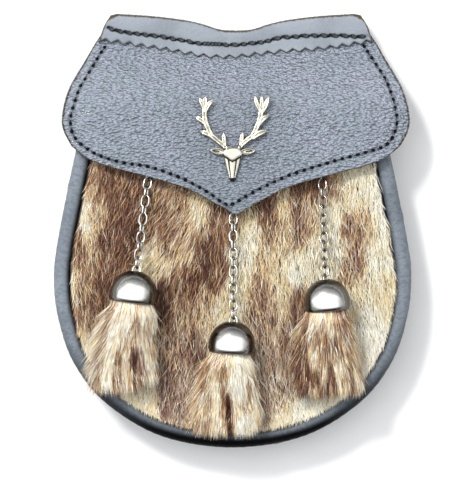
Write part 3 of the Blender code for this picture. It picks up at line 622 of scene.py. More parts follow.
# ---- Effects that several materials share --------------------------------------------------
def pebble_effect():
    """Leather grain: rounded cushions, wider than they are high, with a narrow crease between them, put out
    as a mask for painted shade.
    """
    tree, given, out = group("pebble grain", ("Height", "Crease"), Cells=600.0)
    where = given["Vector"]
    sway = node(tree, "ShaderNodeTexNoise", {"Vector": where, "Scale": 420.0, "Detail": 1.0}).outputs[1]
    push = node(tree, "ShaderNodeVectorMath", {0: sway, 1: (0.5, 0.5, 0.5)}, operation="SUBTRACT").outputs[0]
    push = node(tree, "ShaderNodeVectorMath", {0: push, "Scale": 1.2 * mm}, operation="SCALE").outputs[0]
    moved = node(tree, "ShaderNodeVectorMath", {0: where, 1: push}).outputs[0]
    cells = {"Vector": stretched(tree, moved, (0.56, 1.0, 1), 0.1), "Scale": given["Cells"]}
    far = node(tree, "ShaderNodeTexVoronoi", cells, feature="F1").outputs[0]
    cushion = maths(tree, "SUBTRACT", 1.6, times(tree, times(tree, far, far), 1.6))
    drawn = noise(tree, stretched(tree, where, (0.4, 1.0, 1), 0.12), 420.0)
    height = plus(tree, times(tree, noise(tree, where, 1500.0), 0.1), cushion)
    height = plus(tree, times(tree, drawn, 0.35), height)
    feed(tree, out, Height=height, Crease=between(tree, far, 0.4, 0.8))
    return tree


def hide_effect():
    """The fine grain and slow tone changes of smooth leather."""
    tree, given, out = group("smooth hide", ("Height", "Tone"), Fine=1400.0, Slow=45.0)
    where = given["Vector"]
    fine = noise(tree, where, given["Fine"], 3.0, 0.6)
    cells = node(tree, "ShaderNodeTexVoronoi", {"Vector": where, "Scale": given["Fine"]}).outputs[0]
    height = plus(tree, times(tree, fine, 0.6), times(tree, cells, 0.4))
    feed(tree, out, Height=height, Tone=noise(tree, where, given["Slow"], 4.0))
    return tree


def wear_effect():
    """Wear along an edge: Mask is 1 at distance 0 and fades unevenly over Width, both in millimetres."""
    tree, given, out = group("edge wear", ("Mask",), Distance=10.0, Width=0.8)
    uneven = between(tree, noise(tree, given["Vector"], 700.0, 3.0), 0.3, 0.7, 0.35, 1.3)
    share = maths(tree, "DIVIDE", given["Distance"], times(tree, given["Width"], uneven))
    feed(tree, out, Mask=between(tree, share, 0.2, 1.0, 1.0, 0.0))
    return tree


def tarnish_effect():
    """Old metal: dark where its patina and painted shade are noted, with faint specks and rubbed highlights.
    """
    tree, given, out = group("tarnish", ("Mask", "Roughness", "Height"), Cavity=0.0, Specks=900.0)
    specks = noise(tree, given["Vector"], given["Specks"], 4.0, 0.65)
    clouds = noise(tree, given["Vector"], 160.0, 3.0)
    dirt = plus(tree, given["Cavity"], times(tree, specks, 0.35))
    feed(tree, out, Mask=between(tree, dirt, 0.3, 0.85), Height=specks)
    feed(tree, out, Roughness=between(tree, clouds, 0.35, 0.7, 0.16, 0.34))
    return tree


# ---- Materials -----------------------------------------------------------------------------
def pebbled_leather(pebble, hide, wear):
    made, tree, shader = material("pebbled leather", Specular_IOR_Level=0.4, Coat_Weight=0.03)
    place = own_place(tree)
    grain = effect(tree, pebble, Vector=place, Cells=GRAIN_CELLS)
    skin = effect(tree, hide, Vector=place, Fine=1900.0, Slow=45.0)
    base = blended(tree, between(tree, skin["Tone"], 0.3, 0.7), LEATHER_BLUE, LEATHER_MAUVE)
    # painted shade in the grain's creases
    base = blended(tree, times(tree, grain["Crease"], 0.22), base, (0.06, 0.085, 0.105, 1))
    base = blended(tree, between(tree, read(tree, "edge"), 5.0, 7.0, 0.3, 0.0), base, LEATHER_BLUE)
    # painted shade: a little darker round the badge and down to the point
    x, y, _ = node(tree, "ShaderNodeSeparateXYZ", {0: place}).outputs
    middle = between(tree, maths(tree, "ABSOLUTE", x), 12 * mm, 42 * mm, 0.4, 0.0)
    painted_low_shade = times(tree, middle, between(tree, y, 86 * mm, 66 * mm))
    base = blended(tree, painted_low_shade, base, (0.2, 0.24, 0.275, 1))
    worn = effect(tree, wear, Vector=place, Distance=read(tree, "edge"), Width=0.9)
    base = blended(tree, worn["Mask"], base, EDGE_OLIVE)
    # painted shade along the seam's dent
    base = blended(tree, between(tree, read(tree, "seam"), 0.4, 1.7, 0.5, 0.0), base, DENT_SHADE)
    shine = between(tree, grain["Height"], 0.8, 1.8, 0.65, 0.42)
    feed(tree, shader, Base_Color=base, Roughness=shine, Normal=bumped(tree, grain["Height"], GRAIN_DEPTH))
    return made


def smooth_leather(hide, wear, name, colour, dark, scale=1500.0, depth=0.11):
    """Smooth leather in two tones, worn brown along its edges; depth is its grain's, in millimetres."""
    made, tree, shader = material(name, Specular_IOR_Level=0.35, Coat_Weight=0.05)
    place = own_place(tree)
    skin = effect(tree, hide, Vector=place, Fine=scale, Slow=50.0)
    base = blended(tree, between(tree, skin["Tone"], 0.38, 0.64), colour, dark)
    worn = effect(tree, wear, Vector=place, Distance=read(tree, "edge"), Width=0.7)
    base = blended(tree, worn["Mask"], base, EDGE_OLIVE)
    # painted shadow: near black along the pinked edge
    base = blended(tree, times(tree, read(tree, "pinked"), 0.97), base, (0.012, 0.015, 0.02, 1))
    # darker near the noted seam: painted shade in the dent under the hinge's stitches, and a dark line on the
    # gusset 3 mm above the back
    base = blended(tree, between(tree, read(tree, "seam"), 0.3, 1.8, 0.6, 0.0), base, (0.1, 0.12, 0.15, 1))
    shine = between(tree, skin["Height"], 0.3, 0.7, 0.6, 0.45)
    feed(tree, shader, Base_Color=base, Roughness=shine, Normal=bumped(tree, skin["Height"], depth * mm, 0.8))
    return made


def roll_leather(hide):
    """Leather drawn round the stuffed roll: fine ripples across it, with painted shade in their troughs and
    where the roll turns under.
    """
    made, tree, shader = material("roll leather", Specular_IOR_Level=0.06)
    wrapped = stretched(tree, own_uv(tree, "UVMap"), (ROLL_LENGTH, 2 * math.pi * ROLL_RADIUS, 1))
    skin = effect(tree, hide, Vector=own_place(tree), Fine=1300.0, Slow=60.0)
    ripples = noise(tree, stretched(tree, wrapped, (1.0, 0.6, 1.0)), 620.0, 3.0, 0.6, 0.6)
    tone = between(tree, skin["Tone"], 0.38, 0.62)
    base = blended(tree, tone, (0.205, 0.235, 0.27, 1), (0.17, 0.195, 0.225, 1))
    # painted shade: dark in the ripples' troughs, near black where the 'under' note is high
    base = blended(tree, between(tree, ripples, 0.55, 0.38, 0.0, 0.3), base, DENT_SHADE)
    base = blended(tree, read(tree, "under"), base, (0.002, 0.002, 0.003, 1))
    base = blended(tree, between(tree, read(tree, "rim"), 0.3, 0.9), base, (0.13, 0.105, 0.06, 1))
    height = plus(tree, ripples, times(tree, skin["Height"], 0.4))
    feed(tree, shader, Base_Color=base, Roughness=between(tree, ripples, 0.35, 0.65, 0.6, 0.42))
    feed(tree, shader, Normal=bumped(tree, height, 0.42 * mm, 0.9))
    return made


def cut_edge():
    """The raw, burnished edge of a piece of leather."""
    made, tree, shader = material("cut edge", Specular_IOR_Level=0.25)
    fibres = noise(tree, stretched(tree, own_place(tree), (1, 1, 5)), 900.0, 4.0, 0.7)
    stops = ((0.3, (0.075, 0.06, 0.035)), (0.55, (0.17, 0.145, 0.085)), (0.75, (0.26, 0.23, 0.15)))
    base = ramp(tree, fibres, stops)
    feed(tree, shader, Base_Color=base, Roughness=between(tree, fibres, 0.3, 0.7, 0.75, 0.55))
    feed(tree, shader, Normal=bumped(tree, fibres, 0.1 * mm, 0.7))
    return made


def suede():
    """The flesh side of the leather and the skin under the fur."""
    made, tree, shader = material("suede", Specular_IOR_Level=0.15, Sheen_Weight=0.25, Sheen_Roughness=0.5)
    place = own_place(tree)
    nap = noise(tree, place, 1600.0, 4.0, 0.7)
    clouds = between(tree, noise(tree, place, 90.0, 3.0), 0.35, 0.65)
    base = blended(tree, clouds, (0.055, 0.038, 0.028, 1), (0.095, 0.065, 0.045, 1))
    base = blended(tree, between(tree, nap, 0.5, 0.75, 0.0, 0.5), base, (0.16, 0.12, 0.085, 1))
    feed(tree, shader, Base_Color=base, Roughness=between(tree, nap, 0.3, 0.7, 0.95, 0.8))
    feed(tree, shader, Normal=bumped(tree, nap, 0.1 * mm, 0.6))
    return made


def thread(name, dark, light):
    made, tree, shader = material(name, Specular_IOR_Level=0.2, Sheen_Weight=0.03)
    fibres = noise(tree, own_place(tree), 2600.0, 3.0, 0.7)
    base = blended(tree, between(tree, fibres, 0.35, 0.75), dark, light)
    # darker where the 'shade' note is high: painted shade on the hinge's stitches, and darker towards the
    # sides on the flap's
    base = blended(tree, read(tree, "shade"), base, (0.004, 0.004, 0.006, 1))
    feed(tree, shader, Base_Color=base, Roughness=between(tree, fibres, 0.3, 0.7, 0.75, 0.5))
    feed(tree, shader, Normal=bumped(tree, fibres, 0.06 * mm, 0.7))
    return made


def needle_hole():
    # painted shade: near black, the shade inside each needle hole
    made, tree, shader = material("needle hole", Specular_IOR_Level=0.1)
    torn = noise(tree, own_place(tree), 2600.0, 3.0)
    base = ramp(tree, torn, ((0.3, (0.001, 0.001, 0.002)), (0.7, (0.006, 0.006, 0.009))))
    feed(tree, shader, Base_Color=base, Roughness=between(tree, torn, 0.3, 0.7, 0.95, 0.8))
    return made


def silver(tarnish, name, bright, dark, specks=1100.0, matt=0.0):
    """Old silver, from bright to dark where its patina and painted shade are noted; matt is added to its
    roughness.
    """
    made, tree, shader = material(name)
    old = effect(tree, tarnish, Vector=own_place(tree), Cavity=read(tree, "patina_and_shade"), Specks=specks)
    feed(tree, shader, Base_Color=blended(tree, old["Mask"], bright, dark))
    feed(tree, shader, Roughness=plus(tree, old["Roughness"], matt))
    feed(tree, shader, Metallic=between(tree, old["Mask"], 0.2, 1.0, 1.0, 0.35))
    feed(tree, shader, Normal=bumped(tree, old["Height"], 0.02 * mm, 0.5))
    return made


def gunmetal(tarnish):
    made, tree, shader = material("gunmetal", Metallic=1.0)
    place = own_place(tree)
    old = effect(tree, tarnish, Vector=place, Cavity=read(tree, "patina_and_shade"), Specks=300.0)
    base = blended(tree, old["Mask"], (0.72, 0.705, 0.675, 1), (0.12, 0.113, 0.1, 1))
    rubbed = noise(tree, place, 420.0, 5.0, 0.7)
    feed(tree, shader, Base_Color=base, Roughness=between(tree, rubbed, 0.35, 0.7, 0.22, 0.28))
    feed(tree, shader, Normal=bumped(tree, rubbed, 0.008 * mm, 0.4))
    return made


# the hair's colours, from dark to cream
WARM_HAIR = (
    (0, (0.06, 0.022, 0.012)), (0.15, (0.14, 0.05, 0.026)), (0.3, (0.26, 0.115, 0.06)),
    (0.42, (0.42, 0.205, 0.108)), (0.55, (0.62, 0.38, 0.195)), (0.68, (0.84, 0.64, 0.33)),
    (0.8, (0.96, 0.83, 0.5)), (0.9, (0.99, 0.94, 0.71)), (1, (1, 0.98, 0.9)),
)
GREY_HAIR = (
    (0, (0.07, 0.035, 0.028)), (0.15, (0.16, 0.088, 0.07)), (0.3, (0.3, 0.19, 0.155)),
    (0.42, (0.46, 0.31, 0.265)), (0.55, (0.65, 0.48, 0.395)), (0.68, (0.83, 0.7, 0.5)),
    (0.8, (0.95, 0.86, 0.63)), (0.9, (0.99, 0.95, 0.82)), (1, (1, 0.99, 0.96)),
)


def fur():
    """Hair coloured by its own UV map: U is the hair's tone, V runs from root to tip, warm hair
    in its lower half and grey hair in its upper half."""
    made, tree, shader = material("fur", Specular_IOR_Level=0.2, Roughness=0.55)
    tone, place, _ = node(tree, "ShaderNodeSeparateXYZ", {0: own_uv(tree, "OFBake")}).outputs
    grey = maths(tree, "GREATER_THAN", place, 0.5)
    base = blended(tree, grey, ramp(tree, tone, WARM_HAIR), ramp(tree, tone, GREY_HAIR))
    # painted shade: each hair darkens towards its root, deep in the coat
    root = between(tree, maths(tree, "FRACT", times(tree, place, 2.0)), 0.0, 0.5, 0.5, 0.0)
    feed(tree, shader, Base_Color=blended(tree, root, base, (0.05, 0.025, 0.015, 1)))
    return made


def wear_it(piece, *materials):
    """Puts these materials on a piece, the first on all of it unless its faces say otherwise."""
    chosen = [p.material_index for p in piece.data.polygons] if piece.data.materials else None
    piece.data.materials.clear()
    for one in materials:
        piece.data.materials.append(one)
    if chosen:
        piece.data.polygons.foreach_set("material_index", chosen)


def finished(piece, slot, skins, *nodes):
    """Dresses the piece in its materials and rides it on the root body, in place of these CAD nodes."""
    wear_it(piece, *skins)
    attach(piece, "root")
    if nodes:
        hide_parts(*nodes)


# ---- Studio --------------------------------------------------------------------------------
def studio():
    camera = bpy.data.cameras.new("camera")
    camera.sensor_width = SENSOR_WIDTH
    camera.lens = SENSOR_WIDTH * CAMERA_DISTANCE / VIEW_LONG_SIDE
    holder = linked("camera", camera)
    holder.location = CAMERA_PLACE
    scene = bpy.context.scene
    scene.camera = holder
    scene.view_settings.view_transform = "Standard"

    bpy.ops.mesh.primitive_plane_add(size=FLOOR_SIZE, location=(0, 0, -FLOOR_BELOW))
    floor = named("floor")
    made, tree, shader = material("pale floor", Specular_IOR_Level=0.1)
    paper = noise(tree, own_place(tree), 40.0, 3.0)
    feed(tree, shader, Base_Color=ramp(tree, paper, ((0.3, (0.9, 0.9, 0.9)), (0.7, (0.93, 0.93, 0.93)))))
    feed(tree, shader, Roughness=between(tree, paper, 0.3, 0.7, 0.95, 0.85))
    wear_it(floor, made)

    key = bpy.data.lights.new("key", "AREA")
    key.energy, key.size, key.color = KEY_POWER, KEY_SIZE, KEY_COLOUR
    lamp = linked("key", key)
    lamp.location = KEY_PLACE
    lamp.rotation_euler = Vector(KEY_PLACE).to_track_quat("Z", "Y").to_euler()

    # a white tent: a bright panel overhead, and dim walls, darker to the right and towards the bottom
    world = bpy.data.worlds.new("light tent")
    world.use_nodes = True
    scene.world = world
    tree = world.node_tree
    way = node(tree, "ShaderNodeTexCoord").outputs["Generated"]
    x, y, z = node(tree, "ShaderNodeSeparateXYZ", {0: way}).outputs
    lean = maths(tree, "DIVIDE", y, maths(tree, "MAXIMUM", z, 0.02))
    far = plus(tree, between(tree, lean, 0.82, 0.98, 0.72, 0.0), between(tree, lean, 0.6, 4.0, 0.28, 0.0))
    panel = times(tree, between(tree, lean, -0.6, -0.3), far)
    panel = times(tree, panel, between(tree, z, -0.3, 0.1))
    panel = times(tree, panel, between(tree, x, 0.72, 0.97, 1.0, 0.35))
    walls = between(tree, plus(tree, x, times(tree, y, 0.5)), -0.6, 0.7, TENT_WALLS, TENT_WALLS * 0.3)
    walls = times(tree, walls, between(tree, y, -0.95, -0.45, 0.15, 1.0))
    back = tree.nodes["Background"]
    back.inputs["Color"].default_value = TENT_COLOUR
    feed(tree, back, Strength=plus(tree, times(tree, panel, TENT_PANEL), walls))


# ---- Leather body --------------------------------------------------------------------------
FLAP_GRID, FLAP_WAVE, FLAP_WAVES = (216, 124), 0.25 * mm, (21 * mm, 17 * mm)
HINGE_ROWS, HINGE_SHARES, HINGE_BOW = 44, (1.0, 0.82, 0.66, 0.5, 0.34, 0.18), 0.35 * mm
HINGE_DENT, HINGE_DENT_WIDTH, HINGE_WAVE, HINGE_WAVES = 0.4 * mm, 1.4 * mm, 0.16 * mm, (5.3 * mm, 19 * mm)
HINGE_FRONT = 0.45  # the share of the strip's length that lies on the flap
ROLL_GRID, ROLL_PLEATS, PLEAT_DEPTH, ROLL_RIPPLE = (620, 28), 230, 0.085, 0.012
# painted shade: how black the roll is where it lies lower than the middle by so many millimetres
ROLL_LOW, ROLL_HANG_SHADE = (35, 54, 76, 93, 104, 113), (0, 0.2, 0.62, 0.86, 0.99, 1.1)


def flap_lines():
    """The four lines round the flap: its lower edge, the top, and both sides."""
    half = smooth_line(np.array(FLAP_LOW_EDGE) * mm, 60)
    bottom = even(np.vstack([half[::-1] * (-1, 1), half[1:]]), ACROSS_POINTS)
    right = smooth_line(np.array([*FLAP_SIDE, BACK_SIDE[0]]) * mm, SIDE_POINTS)
    left = right * (-1, 1)
    top = even(np.array([left[-1], right[-1]]), ACROSS_POINTS)
    top[:, 1] = top_edge_y(top[:, 0]) - EDGE_WRAP
    left[-1], right[-1] = top[0], top[-1]
    return bottom, top, left, right


def lean(line):
    return line + (FLAP_LEAN, 0)


def flap_leather():
    """Pebbled leather, drawn in a little along its seam."""
    lines = flap_lines()
    seam = smooth_line(np.array(FLAP_SEAM) * mm, 240)
    rim = np.vstack([lean(lines[2])[::-1], lean(lines[0])[1:], lean(lines[3])[1:]])

    def place(u, v):
        flat = lean(patch(*lines, u, v))
        dent = SEAM_DENT * np.exp(-((distance_to(flat, seam) / SEAM_WIDTH) ** 2))
        wave = FLAP_WAVE * np.sin(flat[:, 0] / FLAP_WAVES[0]) * np.sin(flat[:, 1] / FLAP_WAVES[1] + 1.0)
        return np.column_stack([flat, flap_z(*flat.T) - dent + wave * ease(v * 6) * ease((1 - v) * 6)])

    piece = grid("flap_leather", *FLAP_GRID, place)
    thicken(piece, FLAP_THICKNESS, 0.45 * mm)
    flat = places_of(piece)[:, :2]
    note(piece, "edge", distance_to(flat, rim) / mm)
    note(piece, "seam", distance_to(flat, seam) / mm)
    return piece, seam


def thicken(piece, thickness, rounding=0.0):
    """Gives a sheet its thickness and three materials: its own face, the cut edge, the flesh side."""
    for _ in range(3):
        piece.data.materials.append(None)
    modify(piece, "SOLIDIFY", thickness=thickness, offset=1, material_offset=2, material_offset_rim=1)
    if rounding:
        round_edges(piece, rounding)


def round_edges(piece, width, degrees=40, segments=2):
    limit = math.radians(degrees)
    modify(piece, "BEVEL", width=width, segments=segments, limit_method="ANGLE", angle_limit=limit)


def hinge_leather():
    """Smooth leather from the pinked edge on the flap, over the top edge, to the back."""
    columns = TOOTH_STEPS * TEETH
    layers = BACK_THICKNESS + FLAP_THICKNESS + 3.5 * GAP
    seam = seen(smooth_line(np.array(HINGE_SEAM) * mm, 120), 13 * mm)
    edge_line = seen(smooth_line(np.array(PINKED_EDGE) * mm, 120), 17 * mm)
    sections = []
    for i in range(columns + 1):
        u = 2 * i / columns - 1
        high = top_edge_y(u * STRIP_HALF_TOP) - STRIP_THICKNESS + STRIP_RAISED
        down = high - np.interp(u * STRIP_HALF_LOW + FLAP_LEAN, *edge_line.T)
        notch = TOOTH_DEPTH * (1 - abs(2 * (i % TOOTH_STEPS) / TOOTH_STEPS - 1))
        rows = []
        for share in HINGE_SHARES:
            y = high - share * down + notch * max(0, (share - 0.66) / 0.34)
            bow = HINGE_BOW * math.sin(math.pi * share)
            rows.append((y, flap_z(0, y) + FLAP_THICKNESS + STRIP_LIFT + bow))
        rows += [(high - below * mm, back_z(high) - GAP + layers * share) for below, share in STRIP_TURN]
        rows.append((high - STRIP_BEHIND, back_z(high - STRIP_BEHIND) - GAP))
        section = smooth_line(rows, HINGE_ROWS + 1)
        reach = section[:, 0] + STRIP_THICKNESS * ease((section[:, 0] - 108 * mm) / (5 * mm))
        x = u * np.interp(reach, *np.array(STRIP_SIDE[::-1]).T[::-1] * mm) + FLAP_LEAN
        sections.append(np.column_stack([x, section]))
    sections = np.array(sections)

    def place(u, v):
        i, j = np.rint(u * columns).astype(int), np.rint(v * HINGE_ROWS).astype(int)
        found = sections[i, j]
        short, long = HINGE_WAVES
        dent = HINGE_DENT * np.exp(-((distance_to(found[:, :2], seam) / HINGE_DENT_WIDTH) ** 2))
        wave = HINGE_WAVE * np.sin(found[:, 0] / short + 2 * np.sin(found[:, 0] / long))
        found[:, 2] += (wave * ease(v * 4) - dent) * (v < HINGE_FRONT)
        return found

    piece = grid("hinge_leather", columns, HINGE_ROWS, place)
    low = sections[:, 0, :2]
    thicken(piece, STRIP_THICKNESS, 0.3 * mm)
    flat = places_of(piece)
    side = distance_to(np.abs(flat[:, :2] - (FLAP_LEAN, 0)), np.array(STRIP_SIDE) * mm)
    top = top_edge_y(flat[:, 0] - FLAP_LEAN) + STRIP_RAISED - flat[:, 1]
    # only the outer corner of the turn is rubbed brown, not the whole of it
    turn = np.maximum(0, flap_z(0, flat[:, 1]) + FLAP_THICKNESS + STRIP_LIFT - flat[:, 2])
    note(piece, "edge", np.maximum(0, np.minimum(side - 0.5 * mm, np.hypot(top, turn) - 0.95 * mm)) / mm)
    # painted shadow: a near black line along the strip's pinked edge
    note(piece, "pinked", ease(1.5 - distance_to(flat[:, :2], low) / (0.55 * mm)))
    note(piece, "seam", np.where(flat[:, 2] > 8 * mm, distance_to(flat[:, :2], seam), 0.02) / mm)
    return piece, seam


def lean_at(y):
    return FLAP_LEAN * ease((y - LEAN_FROM) / (LEAN_TO - LEAN_FROM))


def back_outline():
    """The back panel's outline, from the left of the mouth round the bottom and over the top."""
    top = smooth_line(np.array(both_sides(list(reversed(TOP_EDGE)))) * mm, 81)
    top = inset(top, -EDGE_WRAP)
    side = smooth_line(np.array(BACK_SIDE[::-1]) * mm, 21)
    edge = body_line(EDGE_POINTS, BACK_INSET)
    outline = np.vstack([edge, side, top[::-1], side[::-1] * (-1, 1)])
    outline = outline[np.append(True, np.linalg.norm(np.diff(outline, axis=0), axis=1) > 1e-6)]
    return outline + np.column_stack([lean_at(outline[:, 1]), np.zeros(len(outline))])


def back_leather():
    """A flat board with rounded edges; thin cuts across it let its edge carry its own values."""
    outline = back_outline()
    piece = flat_face("back_leather", np.column_stack([outline, back_z(outline[:, 1])]))
    with editing(piece, everything=True):
        draw_out(0, 0, BACK_THICKNESS)
        outwards()
    round_edges(piece, 0.5 * mm)
    with editing(piece):
        for axis, most in ((1, 11), (0, 9)):
            for k in range(-most, most + 1):
                cut_across(axis, k * 10 * mm)
    flat = places_of(piece)[:, :2]
    note(piece, "edge", distance_to(flat, np.vstack([outline, outline[:1]])) / mm)
    note(piece, "seam", np.full(len(flat), NO_SEAM))
    return piece, outline


def gusset_leather():
    """The wall between back panel and roll, bellied outwards, with slack creases."""
    lines = [body_line(401, inside * mm) for inside in GUSSET_INSIDE]
    creases = np.random.default_rng(SEED).normal(0, 1, GUSSET_CREASES)

    def place(u, v):
        low, mid, high = (at_share(line, u) for line in lines)
        t = v[:, None]
        flat = low * (1 - t) * (1 - 2 * t) + mid * 4 * t * (1 - t) + high * t * (2 * t - 1)
        bottom = back_z(flat[:, 1]) + BACK_THICKNESS + GAP
        top = roll_z(flat[:, 1]) - ROLL_RADIUS - GAP
        slack = np.interp(u, np.linspace(0, 1, GUSSET_CREASES), creases) * np.sin(math.pi * v) * 0.35 * mm
        out = at_share(sideways(lines[1]), u)
        return np.column_stack([flat - out * slack[:, None], bottom + (top - bottom) * v])

    piece = grid("gusset_leather", 320, 14, place)
    thicken(piece, GUSSET_THICKNESS)
    found = places_of(piece)
    low = back_z(found[:, 1]) + BACK_THICKNESS + GAP
    note(piece, "edge", np.full(len(found), NO_SEAM))
    note(piece, "seam", np.abs(found[:, 2] - low - 3 * mm) / mm)
    return piece


ROLL_LENGTH = length_of(body_line(400, ROLL_RADIUS))


def front_roll():
    """The stuffed leather roll round the front, gathered into pleats on its inner side."""
    middle = body_line(601, ROLL_RADIUS)
    out = -sideways(middle)
    random = np.random.default_rng(SEED + 1)
    knots = np.sort(random.uniform(0, 1, ROLL_PLEATS))
    pleats = random.uniform(0, 1, ROLL_PLEATS) ** 2

    def place(u, v):
        angle = 2 * math.pi * v  # 0 is outwards, a quarter is up, a half is towards the fur
        flat, away = at_share(middle, u), at_share(out, u)
        inner = ease((1 - np.cos(angle)) / 2)
        folds = np.interp(u, knots, pleats)
        ripple = ROLL_RIPPLE * np.sin(u * 610) * (1 - inner)
        reach = ROLL_RADIUS * (1 - PLEAT_DEPTH * folds * inner - ripple)
        across = np.cos(angle) * reach
        return np.column_stack([flat + away * across[:, None], roll_z(flat[:, 1]) + np.sin(angle) * reach])

    piece = grid("front_roll", *ROLL_GRID, place)
    close_up(piece)
    found = places_of(piece)
    flat = found[:, :2]
    side = distance_to(flat, body_line(400, ROLL_RADIUS))
    inside = distance_to(flat, body_line(400)) > ROLL_RADIUS
    up = (found[:, 2] - roll_z(flat[:, 1])) / ROLL_RADIUS
    # painted shade: darker on the roll's underside and on its inner side, towards the fur
    lower = ease(0.35 - up)
    facing = ease((side / ROLL_RADIUS - 0.35) / 0.6) * inside
    inwards = np.where(inside, ROLL_RADIUS + side, ROLL_RADIUS - side)
    # painted shade: the lower the roll hangs, the blacker it is, most of all on its outer side, and a little
    # darker to the right
    low = -flat[:, 1] - 6 * mm * ease(flat[:, 0] / (60 * mm))
    black = np.interp(low, np.array(ROLL_LOW) * mm, ROLL_HANG_SHADE)
    start = np.interp(low, (60 * mm, 113 * mm), (0.2 * mm, 3.0 * mm))
    right = 0.1 * ease(flat[:, 0] / (60 * mm))
    black = black * (1 - 0.93 * ease((inwards - start) / (5 * mm)))
    facing = facing * (0.8 - 0.55 * ease(flat[:, 0] / (50 * mm)) * ease((flat[:, 1] + 70 * mm) / (60 * mm)))
    note(piece, "under", np.clip(facing + lower * 0.5 + black + right, 0, 1))
    note(piece, "rim", ease((side / ROLL_RADIUS - 0.9) / 0.1) * ~inside * ease(1.2 - up * 1.6))
    return piece


def belt_loop(side, x):
    """A flat strap, its ends sewn down and its middle standing off for the belt."""
    sewn = [LOOP_LOW - LOOP_BEND - LOOP_TAB, LOOP_LOW - LOOP_BEND]
    sewn += [LOOP_HIGH + LOOP_BEND, LOOP_HIGH + LOOP_BEND + LOOP_TAB]
    rows = [(y, back_z(y) - GAP) for y in sewn]
    rows[2:2] = [(LOOP_LOW, LOOP_THICKNESS), (LOOP_HIGH, LOOP_THICKNESS)]
    bpy.ops.mesh.primitive_plane_add(size=1, location=(x, rows[0][0], rows[0][1]))
    piece = named(f"belt_loop_leather_{side}")
    bpy.ops.object.transform_apply(location=True, rotation=False, scale=False)
    with editing(piece, everything=True):
        bpy.ops.mesh.merge(type="CENTER")
        bpy.ops.mesh.select_all(action="SELECT")
        bpy.ops.transform.translate(value=(-LOOP_WIDTH / 2, 0, 0))
        draw_out(LOOP_WIDTH, 0, 0)
        bpy.ops.mesh.select_all(action="SELECT")
        for (y0, z0), (y1, z1) in zip(rows, rows[1:]):
            draw_out(0, y1 - y0, z1 - z0)
        outwards()
    if piece.data.polygons[0].normal.z > 0:
        piece.data.flip_normals()
    round_edges(piece, 3 * mm, 4, segments=4)
    modify(piece, "SOLIDIFY", thickness=LOOP_THICKNESS, offset=-1)
    round_edges(piece, 0.5 * mm, 50)
    with editing(piece):
        for y in np.arange(LOOP_LOW - 14 * mm, LOOP_HIGH + 15 * mm, 2 * mm):
            cut_across(1, y)
        for off in (-8, -10, 8, 10):
            cut_across(0, x + off * mm)
    found = places_of(piece)
    note(piece, "edge", (LOOP_WIDTH / 2 - np.abs(found[:, 0] - x)) / mm)
    note(piece, "seam", np.full(len(found), NO_SEAM))
    return piece


# ---- Seams ---------------------------------------------------------------------------------
def circle(count):
    return [(math.cos(a), math.sin(a)) for a in np.linspace(0, 2 * math.pi, count, endpoint=False)]


def twisted_stitch(name, length, radius, arch):
    """One thick stitch of two-ply thread, its ends going down into the leather."""
    swell = [radius * (1 + 0.22 * (2 * x * x - 1)) for x, _ in circle(10)]
    piece = flat_face(name, [(-length / 2, x * wide, y * wide) for (x, y), wide in zip(circle(10), swell)])
    steps, twist = 10, 0.62
    with editing(piece, everything=True):
        for _ in range(steps):
            draw_out(length / steps, 0, 0)
            bpy.ops.transform.rotate(value=twist, orient_axis="X", center_override=(0, 0, 0))
        outwards()
    found = places_of(piece)
    share = np.abs(found[:, 0]) / (length / 2)
    thin = 1 - 0.45 * ease((share - 0.55) / 0.45)
    found[:, 1] *= thin
    found[:, 2] = found[:, 2] * thin - arch * mm * share**2.5
    put_points(piece, found)
    # painted shade: the stitch's ends are noted dark, the shade where one stitch laps under the next
    right, left = (found[:, 0] / length - 0.2) / 0.12, (-found[:, 0] / length - 0.12) / 0.12
    note(piece, "end", ease(np.maximum(right, left)))
    return piece


def plain_stitch(name, length, radius):
    """One thin stitch, pulled tight between two needle holes."""
    shares = np.linspace(-0.5, 0.5, 6)
    stations = [(0, length * t, -0.25 * mm * (2 * t - 1) ** 4, radius, radius * 0.7) for t in shares]
    return grow(name, circle(6), stations, Matrix.Rotation(-math.pi / 2, 4, "Z"))


def hole(name, radius):
    """A needle hole: a small dark dish."""
    bpy.ops.mesh.primitive_cylinder_add(vertices=10, radius=radius, depth=0.3 * mm)
    piece = named(name)
    with editing(piece):
        select_where(piece, lambda face: face.normal.z > 0.9, "faces")
        bpy.ops.mesh.inset(thickness=radius * 0.4, depth=-0.12 * mm)
    return piece


